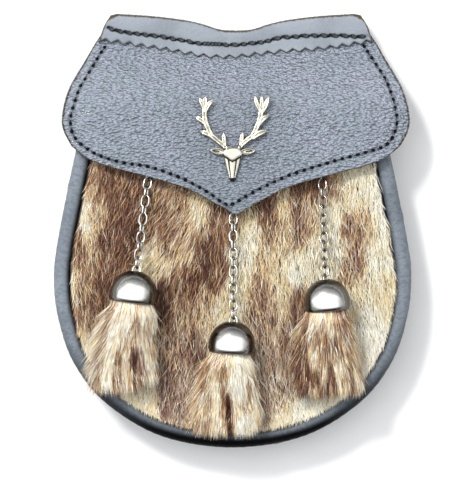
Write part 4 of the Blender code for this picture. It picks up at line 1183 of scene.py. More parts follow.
def seams(flap, flap_seam, hinge, hinge_seam, outline):
    """Stitches and needle holes round the flap, heavy stitches on the hinge, and the seam behind."""
    on_flap, on_hinge = tree_of(flap), tree_of(hinge)
    spots = even(flap_seam, round(length_of(flap_seam) / HOLE_STEP) + 1)
    random = np.random.default_rng(SEED + 2)
    spots[1:-1] += random.normal(0, 0.12 * mm, (len(spots) - 2, 2))
    pattern = plain_stitch("flap_stitches", HOLE_STEP * 1.02, FLAP_THREAD)
    stitches = copies(pattern, laid(on_flap, spots, 0.12 * mm))
    note(stitches, "shade", ease((np.abs(places_of(stitches)[:, 0]) - 50 * mm) / (25 * mm)))
    around = [spots[0], *((a + b) / 2 for a, b in zip(spots, spots[1:])), spots[-1]]
    holes = copies(hole("needle_holes", HOLE_RADIUS), [
        f @ Matrix.Diagonal((random.uniform(0.95, 1.3), random.uniform(0.85, 1.15), 1, 1))
        for f in laid(on_flap, np.array(around), 0.3 * mm)
    ])
    # the hinge's backstitches lap over each other, tighter left of the middle
    far = np.append(0, np.cumsum(np.linalg.norm(np.diff(hinge_seam, axis=0), axis=1)))
    places, place = [], 0.0
    while place < far[-1]:
        places.append(place)
        x = np.interp(place, far, hinge_seam[:, 0])
        tight = TIGHT_FROM * mm < x < TIGHT_TO * mm
        place += (TIGHT_STEP if tight else random.uniform(*HINGE_STEPS)) * mm
    row = np.column_stack([np.interp(places, far, axis) for axis in hinge_seam.T])
    row[:, 1] += random.normal(0, 0.15 * mm, len(row))
    tilt = Matrix.Rotation(math.radians(HINGE_TILT), 4, "Z")
    frames = [f @ tilt for f in laid(on_hinge, row, 0.35 * mm)]
    sizes = np.linalg.norm(np.diff(row, axis=0), axis=1)[: len(frames)]
    frames = [f @ Matrix.Diagonal((max(size, 3 * mm) / (5 * mm), 1, 1, 1)) for f, size in zip(frames, sizes)]
    heavy = copies(twisted_stitch("hinge_stitches", HINGE_STITCH, HINGE_THREAD, HINGE_ARCH), frames)
    # painted shade on the hinge's stitches: dark at their ends and on their sides that face away from the
    # front
    dark = np.empty(len(heavy.data.vertices))
    heavy.data.attributes["end"].data.foreach_get("value", dark)
    note(heavy, "shade", np.maximum(dark, painted_side_shade(heavy, 0.55, 0.0, 1.0)))
    # behind, the seam that holds the gusset
    path = inset(outline[:EDGE_POINTS], BACK_SEAM_INSET)
    spots = even(path, round(length_of(path) / HOLE_STEP) + 1)
    tip, over = Matrix.Rotation(math.atan(BACK_SLOPE), 4, "X"), Matrix.Rotation(math.pi, 4, "X")
    frames = []
    for a, b in zip(spots, spots[1:]):
        middle = (a + b) / 2
        where = Matrix.Translation((*middle, max(back_z(middle[1]) + 0.02 * mm, 0.32 * mm)))
        frames.append(where @ tip @ Matrix.Rotation(math.atan2(b[1] - a[1], b[0] - a[0]), 4, "Z") @ over)
    behind = copies(plain_stitch("back_stitches", HOLE_STEP * 0.86, BACK_THREAD), frames)
    return stitches, holes, heavy, behind


# ---- Hair ----------------------------------------------------------------------------------
def hairs(name, lines, radius, tones, grey, random, coat):
    """One mesh of tapered three-sided hairs. lines is hairs by points by x, y, z, root first.

    grey is how likely each hair is grey instead of warm; coat is the way the coat faces there."""
    count, points, _ = lines.shape
    rings = points - 1
    along = unit(np.gradient(lines, axis=1))
    side = unit(np.cross(along, (0.0, 0.0, 1.0)), 1e-9)
    up = np.cross(side, along)
    turn = random.uniform(0, 2 * math.pi, count)[:, None] + np.arange(3) * 2 * math.pi / 3
    taper = np.interp(np.arange(rings) / rings, (0, 0.35, 0.7, 1), (0.7, 1, 0.75, 0.4))
    reach = radius[:, None, None, None] * taper[None, :, None, None]
    turn = turn[:, None, :, None]
    ring = side[:, :rings, None] * np.cos(turn) + up[:, :rings, None] * np.sin(turn)
    ring = lines[:, :rings, None] + ring * reach
    verts = np.concatenate([ring.reshape(count, rings * 3, 3), lines[:, -1:]], axis=1)
    # a coat takes its light as a whole, so each hair's normals lean to the way the coat faces
    out = (ring - lines[:, :rings, None]).reshape(count, rings * 3, 3)
    out = unit(np.concatenate([out, along[:, -1:] * 0.1 * mm], axis=1), 1e-12)
    facing = unit(coat)[:, None, :]
    share = np.clip((out * facing).sum(2, keepdims=True) + 0.5, 0, 1)
    out = unit(out * 0.5 + facing * share, 1e-12)
    # each hair's faces, and how far round and along it their corners are: sides, tip and root
    quads, quad_u, quad_v, tips, tip_u, tip_v = [], [], [], [], [], []
    last = rings - 1
    for r in range(last):
        for k in range(3):
            quads.append((r * 3 + k, (r + 1) * 3 + k, (r + 1) * 3 + (k + 1) % 3, r * 3 + (k + 1) % 3))
            quad_u.append((k, k, k + 1, k + 1))
            quad_v.append((r, r + 1, r + 1, r))
    for k in range(3):
        tips.append((last * 3 + k, rings * 3, last * 3 + (k + 1) % 3))
        tip_u.append((k, k + 0.5, k + 1))
        tip_v.append((last, rings, last))
    tips.append((0, 1, 2))
    tip_u.append((0, 1, 2))
    tip_v.append((0, 0.2, 0))
    start = (np.arange(count) * (rings * 3 + 1))[:, None, None]
    index = np.concatenate([(np.array(faces)[None] + start).ravel() for faces in (quads, tips)])
    mesh = bpy.data.meshes.new(name)
    mesh.vertices.add(verts.shape[0] * verts.shape[1])
    mesh.vertices.foreach_set("co", verts.ravel())
    mesh.loops.add(len(index))
    mesh.loops.foreach_set("vertex_index", index)
    sides, ends = count * len(quads), count * len(tips)
    starts = np.append(np.arange(sides) * 4, sides * 4 + np.arange(ends) * 3)
    mesh.polygons.add(len(starts))
    mesh.polygons.foreach_set("loop_start", starts)
    mesh.update(calc_edges=True)
    own = mesh.uv_layers.new(name="OFBake")
    tone = np.clip(tones, 0.012, 0.988)[:, None, None]
    u = [(tone + (np.array(c)[None] / 3 - 0.5) * 0.016).ravel() for c in (quad_u, tip_u)]
    grey = (random.uniform(0, 1, count) < grey)[:, None, None] * 0.5
    v = [(grey + 0.01 + 0.48 * np.array(c)[None] / rings).ravel() for c in (quad_v, tip_v)]
    own.data.foreach_set("uv", np.column_stack([np.concatenate(u), np.concatenate(v)]).ravel())
    mesh.shade_smooth()
    mesh.normals_split_custom_set_from_vertices(out.reshape(-1, 3))
    return linked(name, mesh)


def weighted(x, y, table, reach):
    """The value of a table of x, y, value at each place, blended between its nearest rows."""
    rows = np.array(table, float)
    far = ((x[:, None] - rows[:, 0] * mm) / reach[0]) ** 2 + ((y[:, None] - rows[:, 1] * mm) / reach[1]) ** 2
    near = np.exp(-far) + 1e-7 / (1 + far)
    return (near * rows[:, 2]).sum(1) / near.sum(1)


def front_lines():
    """The four lines round the front, inside the roll and up to the pelt's top."""
    line = body_line(385, 2 * ROLL_RADIUS + PANEL_MARGIN)
    corner = 128
    half = line[: corner + 1]
    x = np.interp(-FUR_TOP, -half[:, 1], half[:, 0])
    left = even(np.vstack([(x, FUR_TOP), half[half[:, 1] < FUR_TOP]]), SIDE_POINTS)[::-1]
    right = left * (-1, 1)
    bottom = even(line[corner : len(line) - corner], ACROSS_POINTS)
    top = even(np.array([left[-1], right[-1]]), ACROSS_POINTS)
    return bottom, top, left, right


def clumps(x, y, across, along, random_table):
    """A steady random number for the lock of hair that each place belongs to."""
    row = np.floor(y / along).astype(int)
    column = np.floor(x / across + 0.5 * (row % 2) + 0.35 * np.sin(y / along * 2.1)).astype(int)
    return random_table[(row * 57 + column * 13) % len(random_table)], column, row


def to_roll(x, y):
    """How far each place is from the roll's middle line."""
    flat = np.column_stack([x.ravel(), y.ravel()])
    return distance_to(flat, body_line(120, ROLL_RADIUS)).reshape(x.shape)


def pelt(name, count, seed):
    """Combed hair over the front, shaded by the pelt's patches."""
    random = np.random.default_rng(seed)
    lines = front_lines()
    u, v = random.uniform(0.004, 0.996, count * 3), random.uniform(0, 1, count * 3)
    flat = patch(*lines, u, v)
    shown = flat[:, 1] < flap_low_y(flat[:, 0]) + 9 * mm
    flat = flat[shown][:count]
    x, y = flat.T
    count = len(x)
    length = random.uniform(*PELT_LENGTHS, count) * mm
    low, right = ease((-20 * mm - y) / (40 * mm)), ease(x / (50 * mm))
    reach_over = random.uniform(-0.8, 0.6, count) + random.uniform(0, 1.8, count) * low
    reach_over = (reach_over + (1.1 - 0.9 * low) * right) * mm
    lean = np.radians(weighted(x, y, PELT_COMBING, (22 * mm, 22 * mm)))
    table = random.uniform(-1, 1, 997)
    lock, column, row = clumps(x, y, LOCK_WIDTH, LOCK_LENGTH, table)
    of_lock, of_hair, of_stray = np.radians(PELT_LEANS)
    lean = lean + lock * of_lock + random.normal(0, of_hair, count)
    stray = random.uniform(0, 1, count) > PELT_KEPT
    lean = np.where(stray, lean + random.normal(0, of_stray, count), lean)
    curl = random.normal(0, 0.19, count)[:, None]
    middle = (column + 0.5 - 0.5 * (row % 2)) * LOCK_WIDTH

    def strand(t):
        """Places along each hair; locks draw together towards their tips."""
        way = lean[:, None] + curl * t
        px = x[:, None] + np.sin(way) * length[:, None] * t + (middle - x)[:, None] * 0.5 * t**1.5
        return px, y[:, None] - np.cos(way) * length[:, None] * t

    # beside the roll hairs end on its inner side
    steps = np.linspace(0.05, 1, 12)[None, :]
    over = np.maximum.accumulate(to_roll(*strand(steps)) < (ROLL_RADIUS - reach_over)[:, None], axis=1)
    t = np.linspace(0, 1, 4)[None, :]
    px, py = strand(t * np.where(over.any(1), np.maximum(0.15, 1 - over.mean(1)), 1.0)[:, None])
    # where the hair reaches the roll it is lifted to lie over it, and only the tips of the lowest cross it
    pile = fur_pile(px, py)
    layer = random.uniform(0.3, 1.0, count) ** 0.7
    high = 0.5 * mm + (pile - 0.7 * mm) * (0.16 + 0.84 * t**0.6) * layer[:, None]
    over = ease((ROLL_RADIUS + 1.2 * mm - to_roll(px, py)) / (3 * mm))
    pz = np.maximum(front_z(py) + high, over * (roll_z(py) + ROLL_RADIUS + 0.35 * mm))
    tone = weighted(x, y - 5.5 * mm, PELT_PATCHES, PATCH_REACH)
    streak, *_ = clumps(x + 40 * mm, y, 0.75 * mm, 4.5 * mm, table)
    tone = 0.54 + (tone - 0.54) * np.where(tone < 0.54, 1.08, 1.25) - 0.03 * ease(-x / (10 * mm))
    pale = ease((tone - 0.55) / 0.3)
    tone = tone + (0.1 * lock + 0.22 * streak + random.normal(0, 0.2, count)) * (1 - 0.45 * pale)
    # painted shade: hairs that lie lower in the coat are darker
    tone -= 0.22 * (1 - layer) * (1 - 0.5 * pale)
    radius = random.uniform(*HAIR_RADIUS, count) * mm
    coat = np.column_stack([0.25 * lock, 0.15 + 0.2 * streak, np.ones(count)])
    grey = (0.26 + 0.47 * ease((-y - 25 * mm) / (60 * mm)) + 0.07 * ease(x / (30 * mm))) * (1 - 0.6 * pale)
    return hairs(name, np.stack([px, py, pz], axis=2), radius, tone, grey, random, coat)


def pelt_skin():
    """The skin that the pelt's hair grows from."""
    lines = front_lines()

    def place(u, v):
        flat = patch(*lines, u, v)
        return np.column_stack([flat, front_z(flat[:, 1]) + GAP])

    piece = grid("pelt_skin", 60, 60, place)
    modify(piece, "SOLIDIFY", thickness=0.9 * mm, offset=1)
    round_edges(piece, 0.3 * mm)
    return piece


# each tassel's outline: y, left x, right x; its slit: x and y at the top, x and y at the bottom, half width
TASSEL_OUTLINES = {
    "left": (
        (-38.4, -64.5, -42.3), (-44, -66.5, -40.8), (-56, -69.5, -41.8), (-65.5, -72, -41.2),
        (-75, -73, -41), (-82.2, -72, -40.8), (-87, -70.3, -41),
    ),
    "middle": (
        (-65.2, -12.1, 8.9), (-69.7, -15.1, 10), (-79.7, -17.3, 12.2), (-90.1, -19, 13.1),
        (-98.8, -19.9, 14.8), (-106.6, -18.5, 13.8),
    ),
    "right": (
        (-42.8, 38.5, 60.5), (-56.9, 34.8, 63.5), (-72, 34.2, 66.5), (-82, 35, 68.2), (-88, 35.5, 67.2),
    ),
}
TASSEL_SLITS = {
    "left": (-51.7, -64, -51.7, -90, 0.5),
    "middle": (-2.5, -85, -1.2, -112, 0.8),
    "right": (50, -80, 50.4, -92, 0.35),
}
# where each tassel ends: x, y
TASSEL_ENDS = {
    "left": (
        (-78, -79), (-73, -85), (-70, -88.2), (-62, -88.8), (-52.2, -88.4), (-51.2, -85.6), (-40, -84.6),
    ),
    "middle": ((-20, -107.5), (-16, -110), (-5, -111.4), (4, -110.8), (14.8, -108)),
    "right": ((34, -88.5), (40, -90.5), (55, -91), (64, -90), (68.5, -86)),
}
# where a tassel is dark or light: x, y in millimetres, tone
TASSEL_TONES = {
    "left": (
        (-64.6, -41.6, 0.68), (-67.4, -48.7, 0.62), (-69.8, -58.3, 0.66), (-73.6, -65.4, 0.8),
        (-71.3, -70.2, 0.52), (-74.6, -77.3, 0.86), (-71.7, -82.1, 0.6), (-57.9, -42.5, 0.9),
        (-52.2, -42.5, 0.84), (-45, -42.5, 0.86), (-62.7, -51.1, 0.94), (-57, -51.1, 0.84),
        (-50.3, -52.1, 0.4), (-46.5, -52.1, 0.9), (-42.6, -51.1, 0.7), (-61.7, -58.3, 0.95),
        (-57, -57.3, 0.6), (-52.7, -57.3, 0.66), (-47.4, -59.7, 0.88), (-43.6, -60.7, 0.5),
        (-64.6, -69.2, 0.97), (-59.8, -67.3, 0.52), (-56, -65.4, 0.8), (-51.7, -67.3, 0.2),
        (-48.4, -67.8, 0.44), (-44.5, -66.4, 0.84), (-66.5, -77.3, 0.96), (-60.8, -75.9, 0.44),
        (-56.5, -75, 0.86), (-49.8, -77.3, 0.44), (-45.5, -79.7, 0.68), (-41.7, -80.7, 0.82),
        (-67.4, -84.5, 0.95), (-60.3, -84.5, 0.6), (-55, -84.5, 0.85),
    ),
    "middle": (
        (-11.2, -67.6, 0.78), (-6.9, -68.4, 0.68), (-1.7, -68.4, 0.84), (5.3, -69.7, 0.97),
        (-13.4, -74.9, 0.58), (-9.5, -74.1, 0.7), (-4.3, -74.1, 0.42), (0.5, -73.6, 0.86), (7, -76.2, 0.96),
        (-15.6, -81.4, 0.52), (-9.5, -82.3, 0.92), (-5.1, -81.4, 0.4), (-0.4, -82.3, 0.98),
        (4.4, -83.2, 0.94), (8.7, -83.6, 0.62), (-15.6, -90.1, 0.72), (-12.5, -92.3, 0.38),
        (-8.6, -90.1, 0.92), (-4.9, -92.3, 0.36), (-2.5, -94.5, 0.08), (1.8, -92.3, 0.95), (7, -92.3, 0.54),
        (11.3, -92.3, 0.68), (-16.4, -98.8, 0.64), (-13, -97.9, 0.36), (-9.5, -99.7, 0.86),
        (-5.1, -99.7, 0.6), (-0.8, -99.7, 0.44), (3.5, -99.7, 0.95), (9.6, -101, 0.97), (13, -101, 0.8),
    ),
    "right": (
        (39.6, -46.9, 0.68), (45.6, -46.4, 0.92), (50.6, -46.9, 0.78), (55.6, -47.9, 0.5),
        (59.2, -49.4, 0.52), (37, -55.9, 0.6), (41, -56.9, 0.68), (46.6, -53.4, 0.42), (52.1, -54.4, 0.58),
        (56.7, -55.9, 0.64), (60.7, -59.4, 0.58), (37, -67, 0.36), (42.6, -67, 0.72), (47.6, -65, 0.5),
        (53.6, -65, 0.56), (58.7, -65, 0.62), (62.7, -67, 0.56), (38, -76, 0.28), (44.6, -77, 0.3),
        (48.1, -75, 0.8), (51.6, -78, 0.33), (56.2, -73, 0.86), (60.7, -75, 0.44), (64.7, -77, 0.62),
        (39.6, -84.6, 0.32), (46.6, -84.6, 0.34), (53.1, -85.1, 0.36), (59.2, -84.6, 0.84),
        (63.7, -83.6, 0.5),
    ),
}
LOCK_WIDTH, LOCK_LENGTH = 2.2 * mm, 5.5 * mm
PELT_HAIRS, TASSEL_HAIRS, HAIR_RADIUS = 12000, 11000, (0.09, 0.17)
PELT_LENGTHS, TASSEL_LENGTHS = (5.5, 10.5), (9, 14)
# how far a lock, a hair and a stray hair lean, in degrees, and the share of hairs that don't stray
PELT_LEANS, PELT_KEPT = (13, 8.5, 26), 0.965
TASSEL_LEANS, TASSEL_KEPT = (5, 4.5, 20), 0.97
TASSEL_GREY = {"left": 0.45, "middle": 0.15, "right": 0.25}
TASSEL_SHADE = {"left": -0.03, "middle": 0.07, "right": -0.06}


def tassel_frame(rim_x, rim_y, turn):
    """The cap's own frame: Z along its axis, up the pouch; Y towards the table."""
    high = front_z(rim_y * mm) + GAP + FUR_PRESSED + DOME_RADIUS + DOME_CLEAR
    turned = Matrix.Rotation(math.radians(turn), 4, "Z") @ Matrix.Rotation(-math.pi / 2, 4, "X")
    return Matrix.Translation((rim_x * mm, rim_y * mm, high)) @ turned


def tassel_fur(side, rim_y, count, seed):
    """A skirt of the same fur, sewn into a tube that its cap holds: short hair in layers, top to end."""
    random = np.random.default_rng(seed)
    outline = np.array(TASSEL_OUTLINES[side][::-1]) * mm
    ends = np.array(TASSEL_ENDS[side]) * mm
    rim_y = rim_y * mm
    top, bottom = rim_y + 4 * mm, outline[0, 0]
    around = np.where(random.uniform(0, 1, count) < 0.78, random.uniform(0, math.pi, count),
                      random.uniform(math.pi, 2 * math.pi, count))
    across = np.cos(around) * random.uniform(0.9, 1, count)
    reach = random.uniform(*TASSEL_LENGTHS, count) * mm
    table = random.uniform(-1, 1, 499)
    strip = np.floor((across + 1) * 5.5 + 0.3 * np.sin(around * 3)).astype(int)
    lift, cut_back = table[strip % 499], table[(strip * 7 + 3) % 499]
    wide = (outline[:, 2] - outline[:, 1]).mean() / 2
    end_x = (outline[1, 1] + outline[1, 2]) / 2 + across * wide
    end_y = np.interp(end_x, *ends.T) + cut_back * 0.9 * mm + np.abs(random.normal(0, 0.9, count)) * mm
    root = top + (end_y + reach * 0.95 - top) * random.uniform(0, 1, count)
    t = np.linspace(0, 1, 4)[None, :]
    fall = reach[:, None] * t
    y = root[:, None] - fall
    left, right = (np.interp(y, outline[:, 0], outline[:, k]) for k in (1, 2))
    down = np.clip((rim_y - y) / (rim_y - bottom), 0, 1.15)
    inside = 1 - 0.07 * ease((y - rim_y) / (2 * mm))
    lock, *_ = clumps(across * 20 * mm + 60 * mm, root, 1.7 * mm, 9 * mm, table)
    of_lock, of_hair, of_stray = np.radians(TASSEL_LEANS)
    lean = random.normal(0, of_hair, count) + lock * of_lock
    stray = random.uniform(0, 1, count) > TASSEL_KEPT
    lean = np.where(stray, random.normal(0, of_stray, count), lean)
    # some of the outermost hair on the left stands off
    flares = (across < -0.6) & (random.uniform(0, 1, count) < (0.2 if side == "left" else 0.05))
    lean = np.where(flares, random.normal(math.radians(-26), math.radians(8), count), lean)
    x = (left + right) / 2 + across[:, None] * (right - left) / 2 * inside
    x = x + np.sin(lean)[:, None] * fall * ease(down * 6)
    out = random.uniform(0.2, 1.5, count)[:, None] * mm * t * ease(down * 8)
    half_depth = (9.4 - 4.9 * ease(down)) * mm * inside
    middle = (44.4 - 5.6 * down) * mm
    z = middle + np.sin(around)[:, None] * (half_depth + out + lift[:, None] * 0.8 * mm * down)
    x += np.cos(around)[:, None] * out * 0.6
    # the slit: hair parts to both sides of it
    x0, y0, x1, y1, half = (value * mm for value in TASSEL_SLITS[side])
    middle_x = x0 + (x1 - x0) * np.clip((y0 - y) / (y0 - y1), 0, 1)
    opened = half * ease((y0 - y) / (9 * mm)) * 1.2
    off = x - middle_x
    x += np.where(np.abs(off) < 3 * half, np.sign(off) * np.maximum(0, opened - np.abs(off)), 0)
    painted_slit_shade = ease((0.9 * half + 0.55 * mm - np.abs(off[:, 2])) / (0.6 * mm)) * (y[:, 2] < y0)
    # nothing sinks below the hair or the roll that it lies on
    ground = front_z(y) + fur_pile(x, y) + 0.2 * mm
    on_roll = ease((ROLL_RADIUS + 2 * mm - to_roll(x, y)) / (4 * mm))
    ground = np.maximum(ground, on_roll * (roll_z(y) + ROLL_RADIUS + 0.3 * mm))
    z = np.maximum(z, ground + (random.uniform(0, 1, count) ** 2)[:, None] * 1.2 * mm)
    lines = np.stack([x, y, z], axis=2)
    tone = weighted(x[:, 2], y[:, 2], TASSEL_TONES[side], (1.7 * mm, 4.5 * mm))
    streak, *_ = clumps(across * 20 * mm + 90 * mm, root, 0.8 * mm, 7 * mm, table)
    uneven = 1 - 0.3 * ease((tone - 0.6) / 0.3)
    tone = tone + TASSEL_SHADE[side] + (0.1 * lock + 0.32 * streak + random.normal(0, 0.24, count)) * uneven
    # painted shade: darker on the tassel's underside, towards the table, and along the slit
    tone = tone - 0.3 * np.clip(-np.sin(around), 0, 1) - 0.6 * painted_slit_shade
    radius = random.uniform(*HAIR_RADIUS, count) * mm
    outward = np.maximum(np.sin(around), -0.6) + 0.25
    coat = np.column_stack([np.cos(around) * 0.6 + 0.15 * lock, np.full(count, 0.15), outward])
    return hairs(f"tassel_fur_{side}", lines, radius, tone, np.full(count, TASSEL_GREY[side]), random, coat)


# ---- Metal ---------------------------------------------------------------------------------
SPIN_STEPS, CROWN_TURNS, LINING_TURNS, LIP_TURNS = 72, 20, 12, (12, 28, 44, 60, 76, 90)
BAIL_FOOT, HOLLOW_REACH, HOLLOW_RAYS, CASTING_GRAIN = 8 * mm, 2.2 * mm, 20, 0.145 * mm


def wire_arch(name, top, foot, turned):
    """A bent wire, drawn in the XY plane with Y up the arch, then turned into place."""
    corner = ARCH_CORNER * 1.5
    stations = [(-BAIL_HALF, foot), (-BAIL_HALF, (foot + top) / 2), (-BAIL_HALF, top - corner)]
    for a in (22.5, 45, 67.5):
        a = math.radians(a)
        stations.append((-BAIL_HALF + corner * (1 - math.cos(a)), top - corner + corner * math.sin(a)))
    stations.append((-BAIL_HALF + corner, top))
    stations += [(-x, y) for x, y in reversed(stations)]
    return grow(name, circle(10), [(x, y, 0, WIRE_RADIUS, WIRE_RADIUS) for x, y in stations], turned)


def fine_link():
    """One link of wire: a ring, its two halves drawn apart."""
    half_width = LINK_WIDTH / 2 - WIRE_RADIUS
    bpy.ops.mesh.primitive_torus_add(
        major_radius=half_width, minor_radius=WIRE_RADIUS, major_segments=28, minor_segments=10
    )
    piece = named("fine_link")
    straight = LINK_LENGTH / 2 - WIRE_RADIUS - half_width
    with editing(piece):
        for way in (1, -1):
            select_where(piece, lambda v: v.co.y * way > 1e-6)
            bpy.ops.transform.translate(value=(0, straight * way, 0))
    return piece


def chain(side, pattern):
    """Fine links in the places of the CAD model's links."""
    nodes = sorted(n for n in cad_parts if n.startswith(f"link_{side}_"))
    frames = []
    for name in nodes:
        places = places_of(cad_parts[name])
        centre = places.mean(0)
        across, along = np.linalg.svd(places - centre, full_matrices=False)[2][[1, 0]]
        turned = Matrix(np.column_stack([across, along, np.cross(across, along)]).tolist()).to_4x4()
        frames.append(Matrix.Translation(centre) @ turned)
    return copies(linked(f"chain_{side}", pattern.data.copy()), frames), nodes


def cap(side, place):
    """A polished cap, spun from its profile, with a rolled lip and a collar round the hole."""
    inner = DOME_RADIUS - DOME_WALL
    base = DOME_HEIGHT - DOME_RADIUS
    hole = math.asin(DOME_HOLE / DOME_RADIUS)
    turns = np.linspace(hole, math.pi / 2, CROWN_TURNS)
    outside = [(DOME_RADIUS * math.sin(a), base + DOME_RADIUS * math.cos(a)) for a in turns]
    outside += [(DOME_RADIUS, base * 0.72)]
    outside += [(DOME_RADIUS - RIM_TURN * (1 - math.cos(a)), RIM_TURN * 1.4 * (1 - math.sin(a)))
                for a in np.radians(LIP_TURNS)]
    hole = math.asin(DOME_HOLE / inner)
    turns = np.linspace(math.pi / 2, hole, LINING_TURNS)
    lining = [(inner - 1.2 * mm, 0.3 * mm), (inner, 1.8 * mm)]
    lining += [(inner * math.sin(a), base + inner * math.cos(a)) for a in turns]
    profile = outside + lining
    bpy.ops.mesh.primitive_plane_add(size=1 * mm)
    piece = named(f"cap_{side}")
    with editing(piece, everything=True):
        bpy.ops.mesh.merge(type="CENTER")
        x, z = profile[0]
        bpy.ops.transform.translate(value=(x, 0, z))
        for x1, z1 in profile[1:] + profile[:1]:
            draw_out(x1 - x, 0, z1 - z)
            x, z = x1, z1
        bpy.ops.mesh.select_all(action="SELECT")
        bpy.ops.mesh.spin(steps=SPIN_STEPS, angle=2 * math.pi, center=(0, 0, 0), axis=(0, 0, 1))
        bpy.ops.mesh.select_all(action="SELECT")
        bpy.ops.mesh.remove_doubles(threshold=1e-6)
        outwards()
    found = places_of(piece)
    far, high = np.hypot(found[:, 0], found[:, 1]), found[:, 2]
    inside = (np.hypot(far, np.maximum(0, high - base)) < DOME_RADIUS - 0.5 * mm) * 0.9
    groove = ease((0.9 * mm - high) / (0.7 * mm)) * 0.9
    crown = ease((5 * mm - far) / (2.5 * mm)) * (high > base) * 0.8
    piece.data.transform(place)
    smooth(piece, 40)
    # painted shade on the sides that face away from the front; the inside, the groove by the lip and the
    # crown round the hole are dark too
    note(piece, "patina_and_shade", np.maximum.reduce([inside, groove, crown, painted_side_shade(piece, 0.84, 0.58, 0.8)]))
    return piece


def wires(side, place, last_roll):
    """The wire arches at the two ends of a chain: on the front panel and in the cap's crown."""
    upright = Matrix.Rotation(math.pi / 2, 4, "X")
    low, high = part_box(f"staple_{side}")
    foot = Vector(((low.x + high.x) / 2, (low.y + high.y) / 2, low.z))
    staple = wire_arch(f"staple_wire_{side}", high.z - low.z, 0, Matrix.Translation(foot) @ upright)
    turned = place @ Matrix.Rotation(last_roll + math.pi / 2, 4, "Z") @ upright
    bail = wire_arch(f"bail_{side}", BAIL_HEIGHT, BAIL_FOOT, turned)
    for piece in (staple, bail):
        # painted shade on the wire's sides that face away from the front
        note(piece, "patina_and_shade", painted_side_shade(piece, 0.62, 0.1, 0.95))
        smooth(piece, 60)
    return staple, bail


def shade_hollows(piece):
    """Notes on each point how much of what it faces is close metal, so that tarnish gathers there."""
    surface = tree_of(piece)
    rays, golden = HOLLOW_RAYS, math.pi * (3 - math.sqrt(5))
    fan = []
    for k in range(rays):
        out = math.sqrt(k / rays)
        fan.append(Vector((out * math.cos(k * golden), out * math.sin(k * golden), math.sqrt(1 - k / rays))))
    found = []
    for vert in piece.data.vertices:
        turned = vert.normal.to_track_quat("Z", "Y")
        start = vert.co + vert.normal * 0.03 * mm
        hits = sum(surface.ray_cast(start, turned @ way, HOLLOW_REACH)[0] is not None for way in fan)
        found.append(min(1.0, hits / rays * 1.25))
    note(piece, "patina_and_shade", found)


# shares of half width and half height round a rod with a groove along its top
GROOVED = (
    (1, 0), (0.97, 0.5), (0.78, 0.86), (0.3, 0.9), (0, 0.46), (-0.3, 0.9), (-0.78, 0.86), (-0.97, 0.5),
    (-1, 0), (-0.6, -0.8), (0, -1), (0.6, -0.8),
)
# the same for the head, flat behind, with a groove on each side of its ridge
HEAD_RING = (
    (1, 0), (1.04, 0.3), (1, 0.58), (0.9, 0.74), (0.62, 0.84), (0.54, 0.66), (0.46, 0.66), (0.38, 0.94),
    (0, 1), (-0.38, 0.94), (-0.46, 0.66), (-0.54, 0.66), (-0.62, 0.84), (-0.9, 0.74), (-1, 0.58),
    (-1.04, 0.3), (-1, 0),
)
# height, half width, thickness from crown to chin, in millimetres; the head leans to the left
HEAD = (
    (1, 1.6, 1.5), (0.5, 2.8, 2.2), (-0.6, 4.1, 2.8), (-2.2, 4.6, 3.1), (-4, 4.5, 3.3), (-5.4, 4.2, 3.3),
    (-7, 3.85, 3.2), (-9.7, 3.2, 3.05), (-12, 2.55, 2.95), (-13.7, 2.1, 3), (-15.2, 1.8, 3),
    (-16.2, 1.4, 2.5), (-17, 0.9, 1.5),
)
HEAD_MIDDLE = -0.9
BROW = (
    (-4.3, 0.1), (-0.9, 0.9), (2.1, 0.5), (3.8, -1.2), (4, -3.2), (1.6, -4.75), (-0.9, -6.2), (-3.3, -4.75),
    (-5.4, -3.2), (-5.8, -1.6),
)
BROW_FOLD = ((-5.3, -3.9), (HEAD_MIDDLE, -6.75), (3.9, -3.9))
# root, tip
EARS = (((-5.2, -1.5), (-12.6, -0.4)), ((3.4, -1.5), (11.2, -0.6)))
EAR_WIDTHS = ((0, 0.8), (0.15, 1.35), (0.4, 1.75), (0.62, 1.6), (0.82, 1.1), (1, 0.3))
BEAMS = (
    ((-4, 0.4), (-6.4, 2.8), (-9.4, 5.2), (-11.9, 7.5), (-14, 11.5), (-15.4, 15.8), (-15.8, 19.2),
     (-15.5, 22.1)),
    ((2.6, 0.4), (4.4, 2.8), (7.2, 5.2), (9.9, 7.5), (11.8, 11.5), (13.5, 15.8), (14.1, 19.2),
     (14.7, 21.7)),
)
# root, tip, half width
TINES = (
    ((-4.9, 0.9), (-5.8, 9), 1.15), ((-11.5, 6.6), (-17.8, 9.6), 1.3), ((-14.6, 12.6), (-20.5, 17.3), 1.25),
    ((-15.6, 20), (-18.6, 27.5), 1.15), ((-15.5, 20.6), (-15.3, 28.7), 1.15),
    ((-15.4, 20), (-11.2, 26.8), 1.2), ((3.4, 0.9), (4.4, 9.4), 1.15), ((9.6, 5.8), (17.2, 10.1), 1.5),
    ((12.4, 12), (18.5, 18.6), 1.35), ((14.4, 19.6), (11, 28.6), 1.15), ((14.7, 20.4), (14.6, 28.7), 1.05),
    ((14.8, 19.6), (18.1, 28.4), 1.2),
)
TINE_BOWS = (0.0, -0.06, -0.08, -0.05, 0.0, 0.05)  # how far they curve sideways, for their length
TINE_SHAPE = ((0, 0.7), (0.25, 0.85), (0.5, 1), (0.72, 0.92), (0.88, 0.66), (1, 0.2))


def leaf_plate(name, outline, low, high, hollow):
    """A plate of that outline; hollow is how far its upper face sinks inside a rounded rim."""
    piece = flat_face(name, [(x * mm, y * mm, low * mm) for x, y in outline])
    with editing(piece, everything=True):
        draw_out(0, 0, (high - low) * mm)
        outwards()
        select_where(piece, lambda face: face.normal.z > 0.9, "faces")
        for thickness, depth in ((0.4, 0.14), (0.4, -hollow), (0.5, -hollow * 0.3)):
            bpy.ops.mesh.inset(thickness=thickness * mm, depth=depth * mm)
    return piece


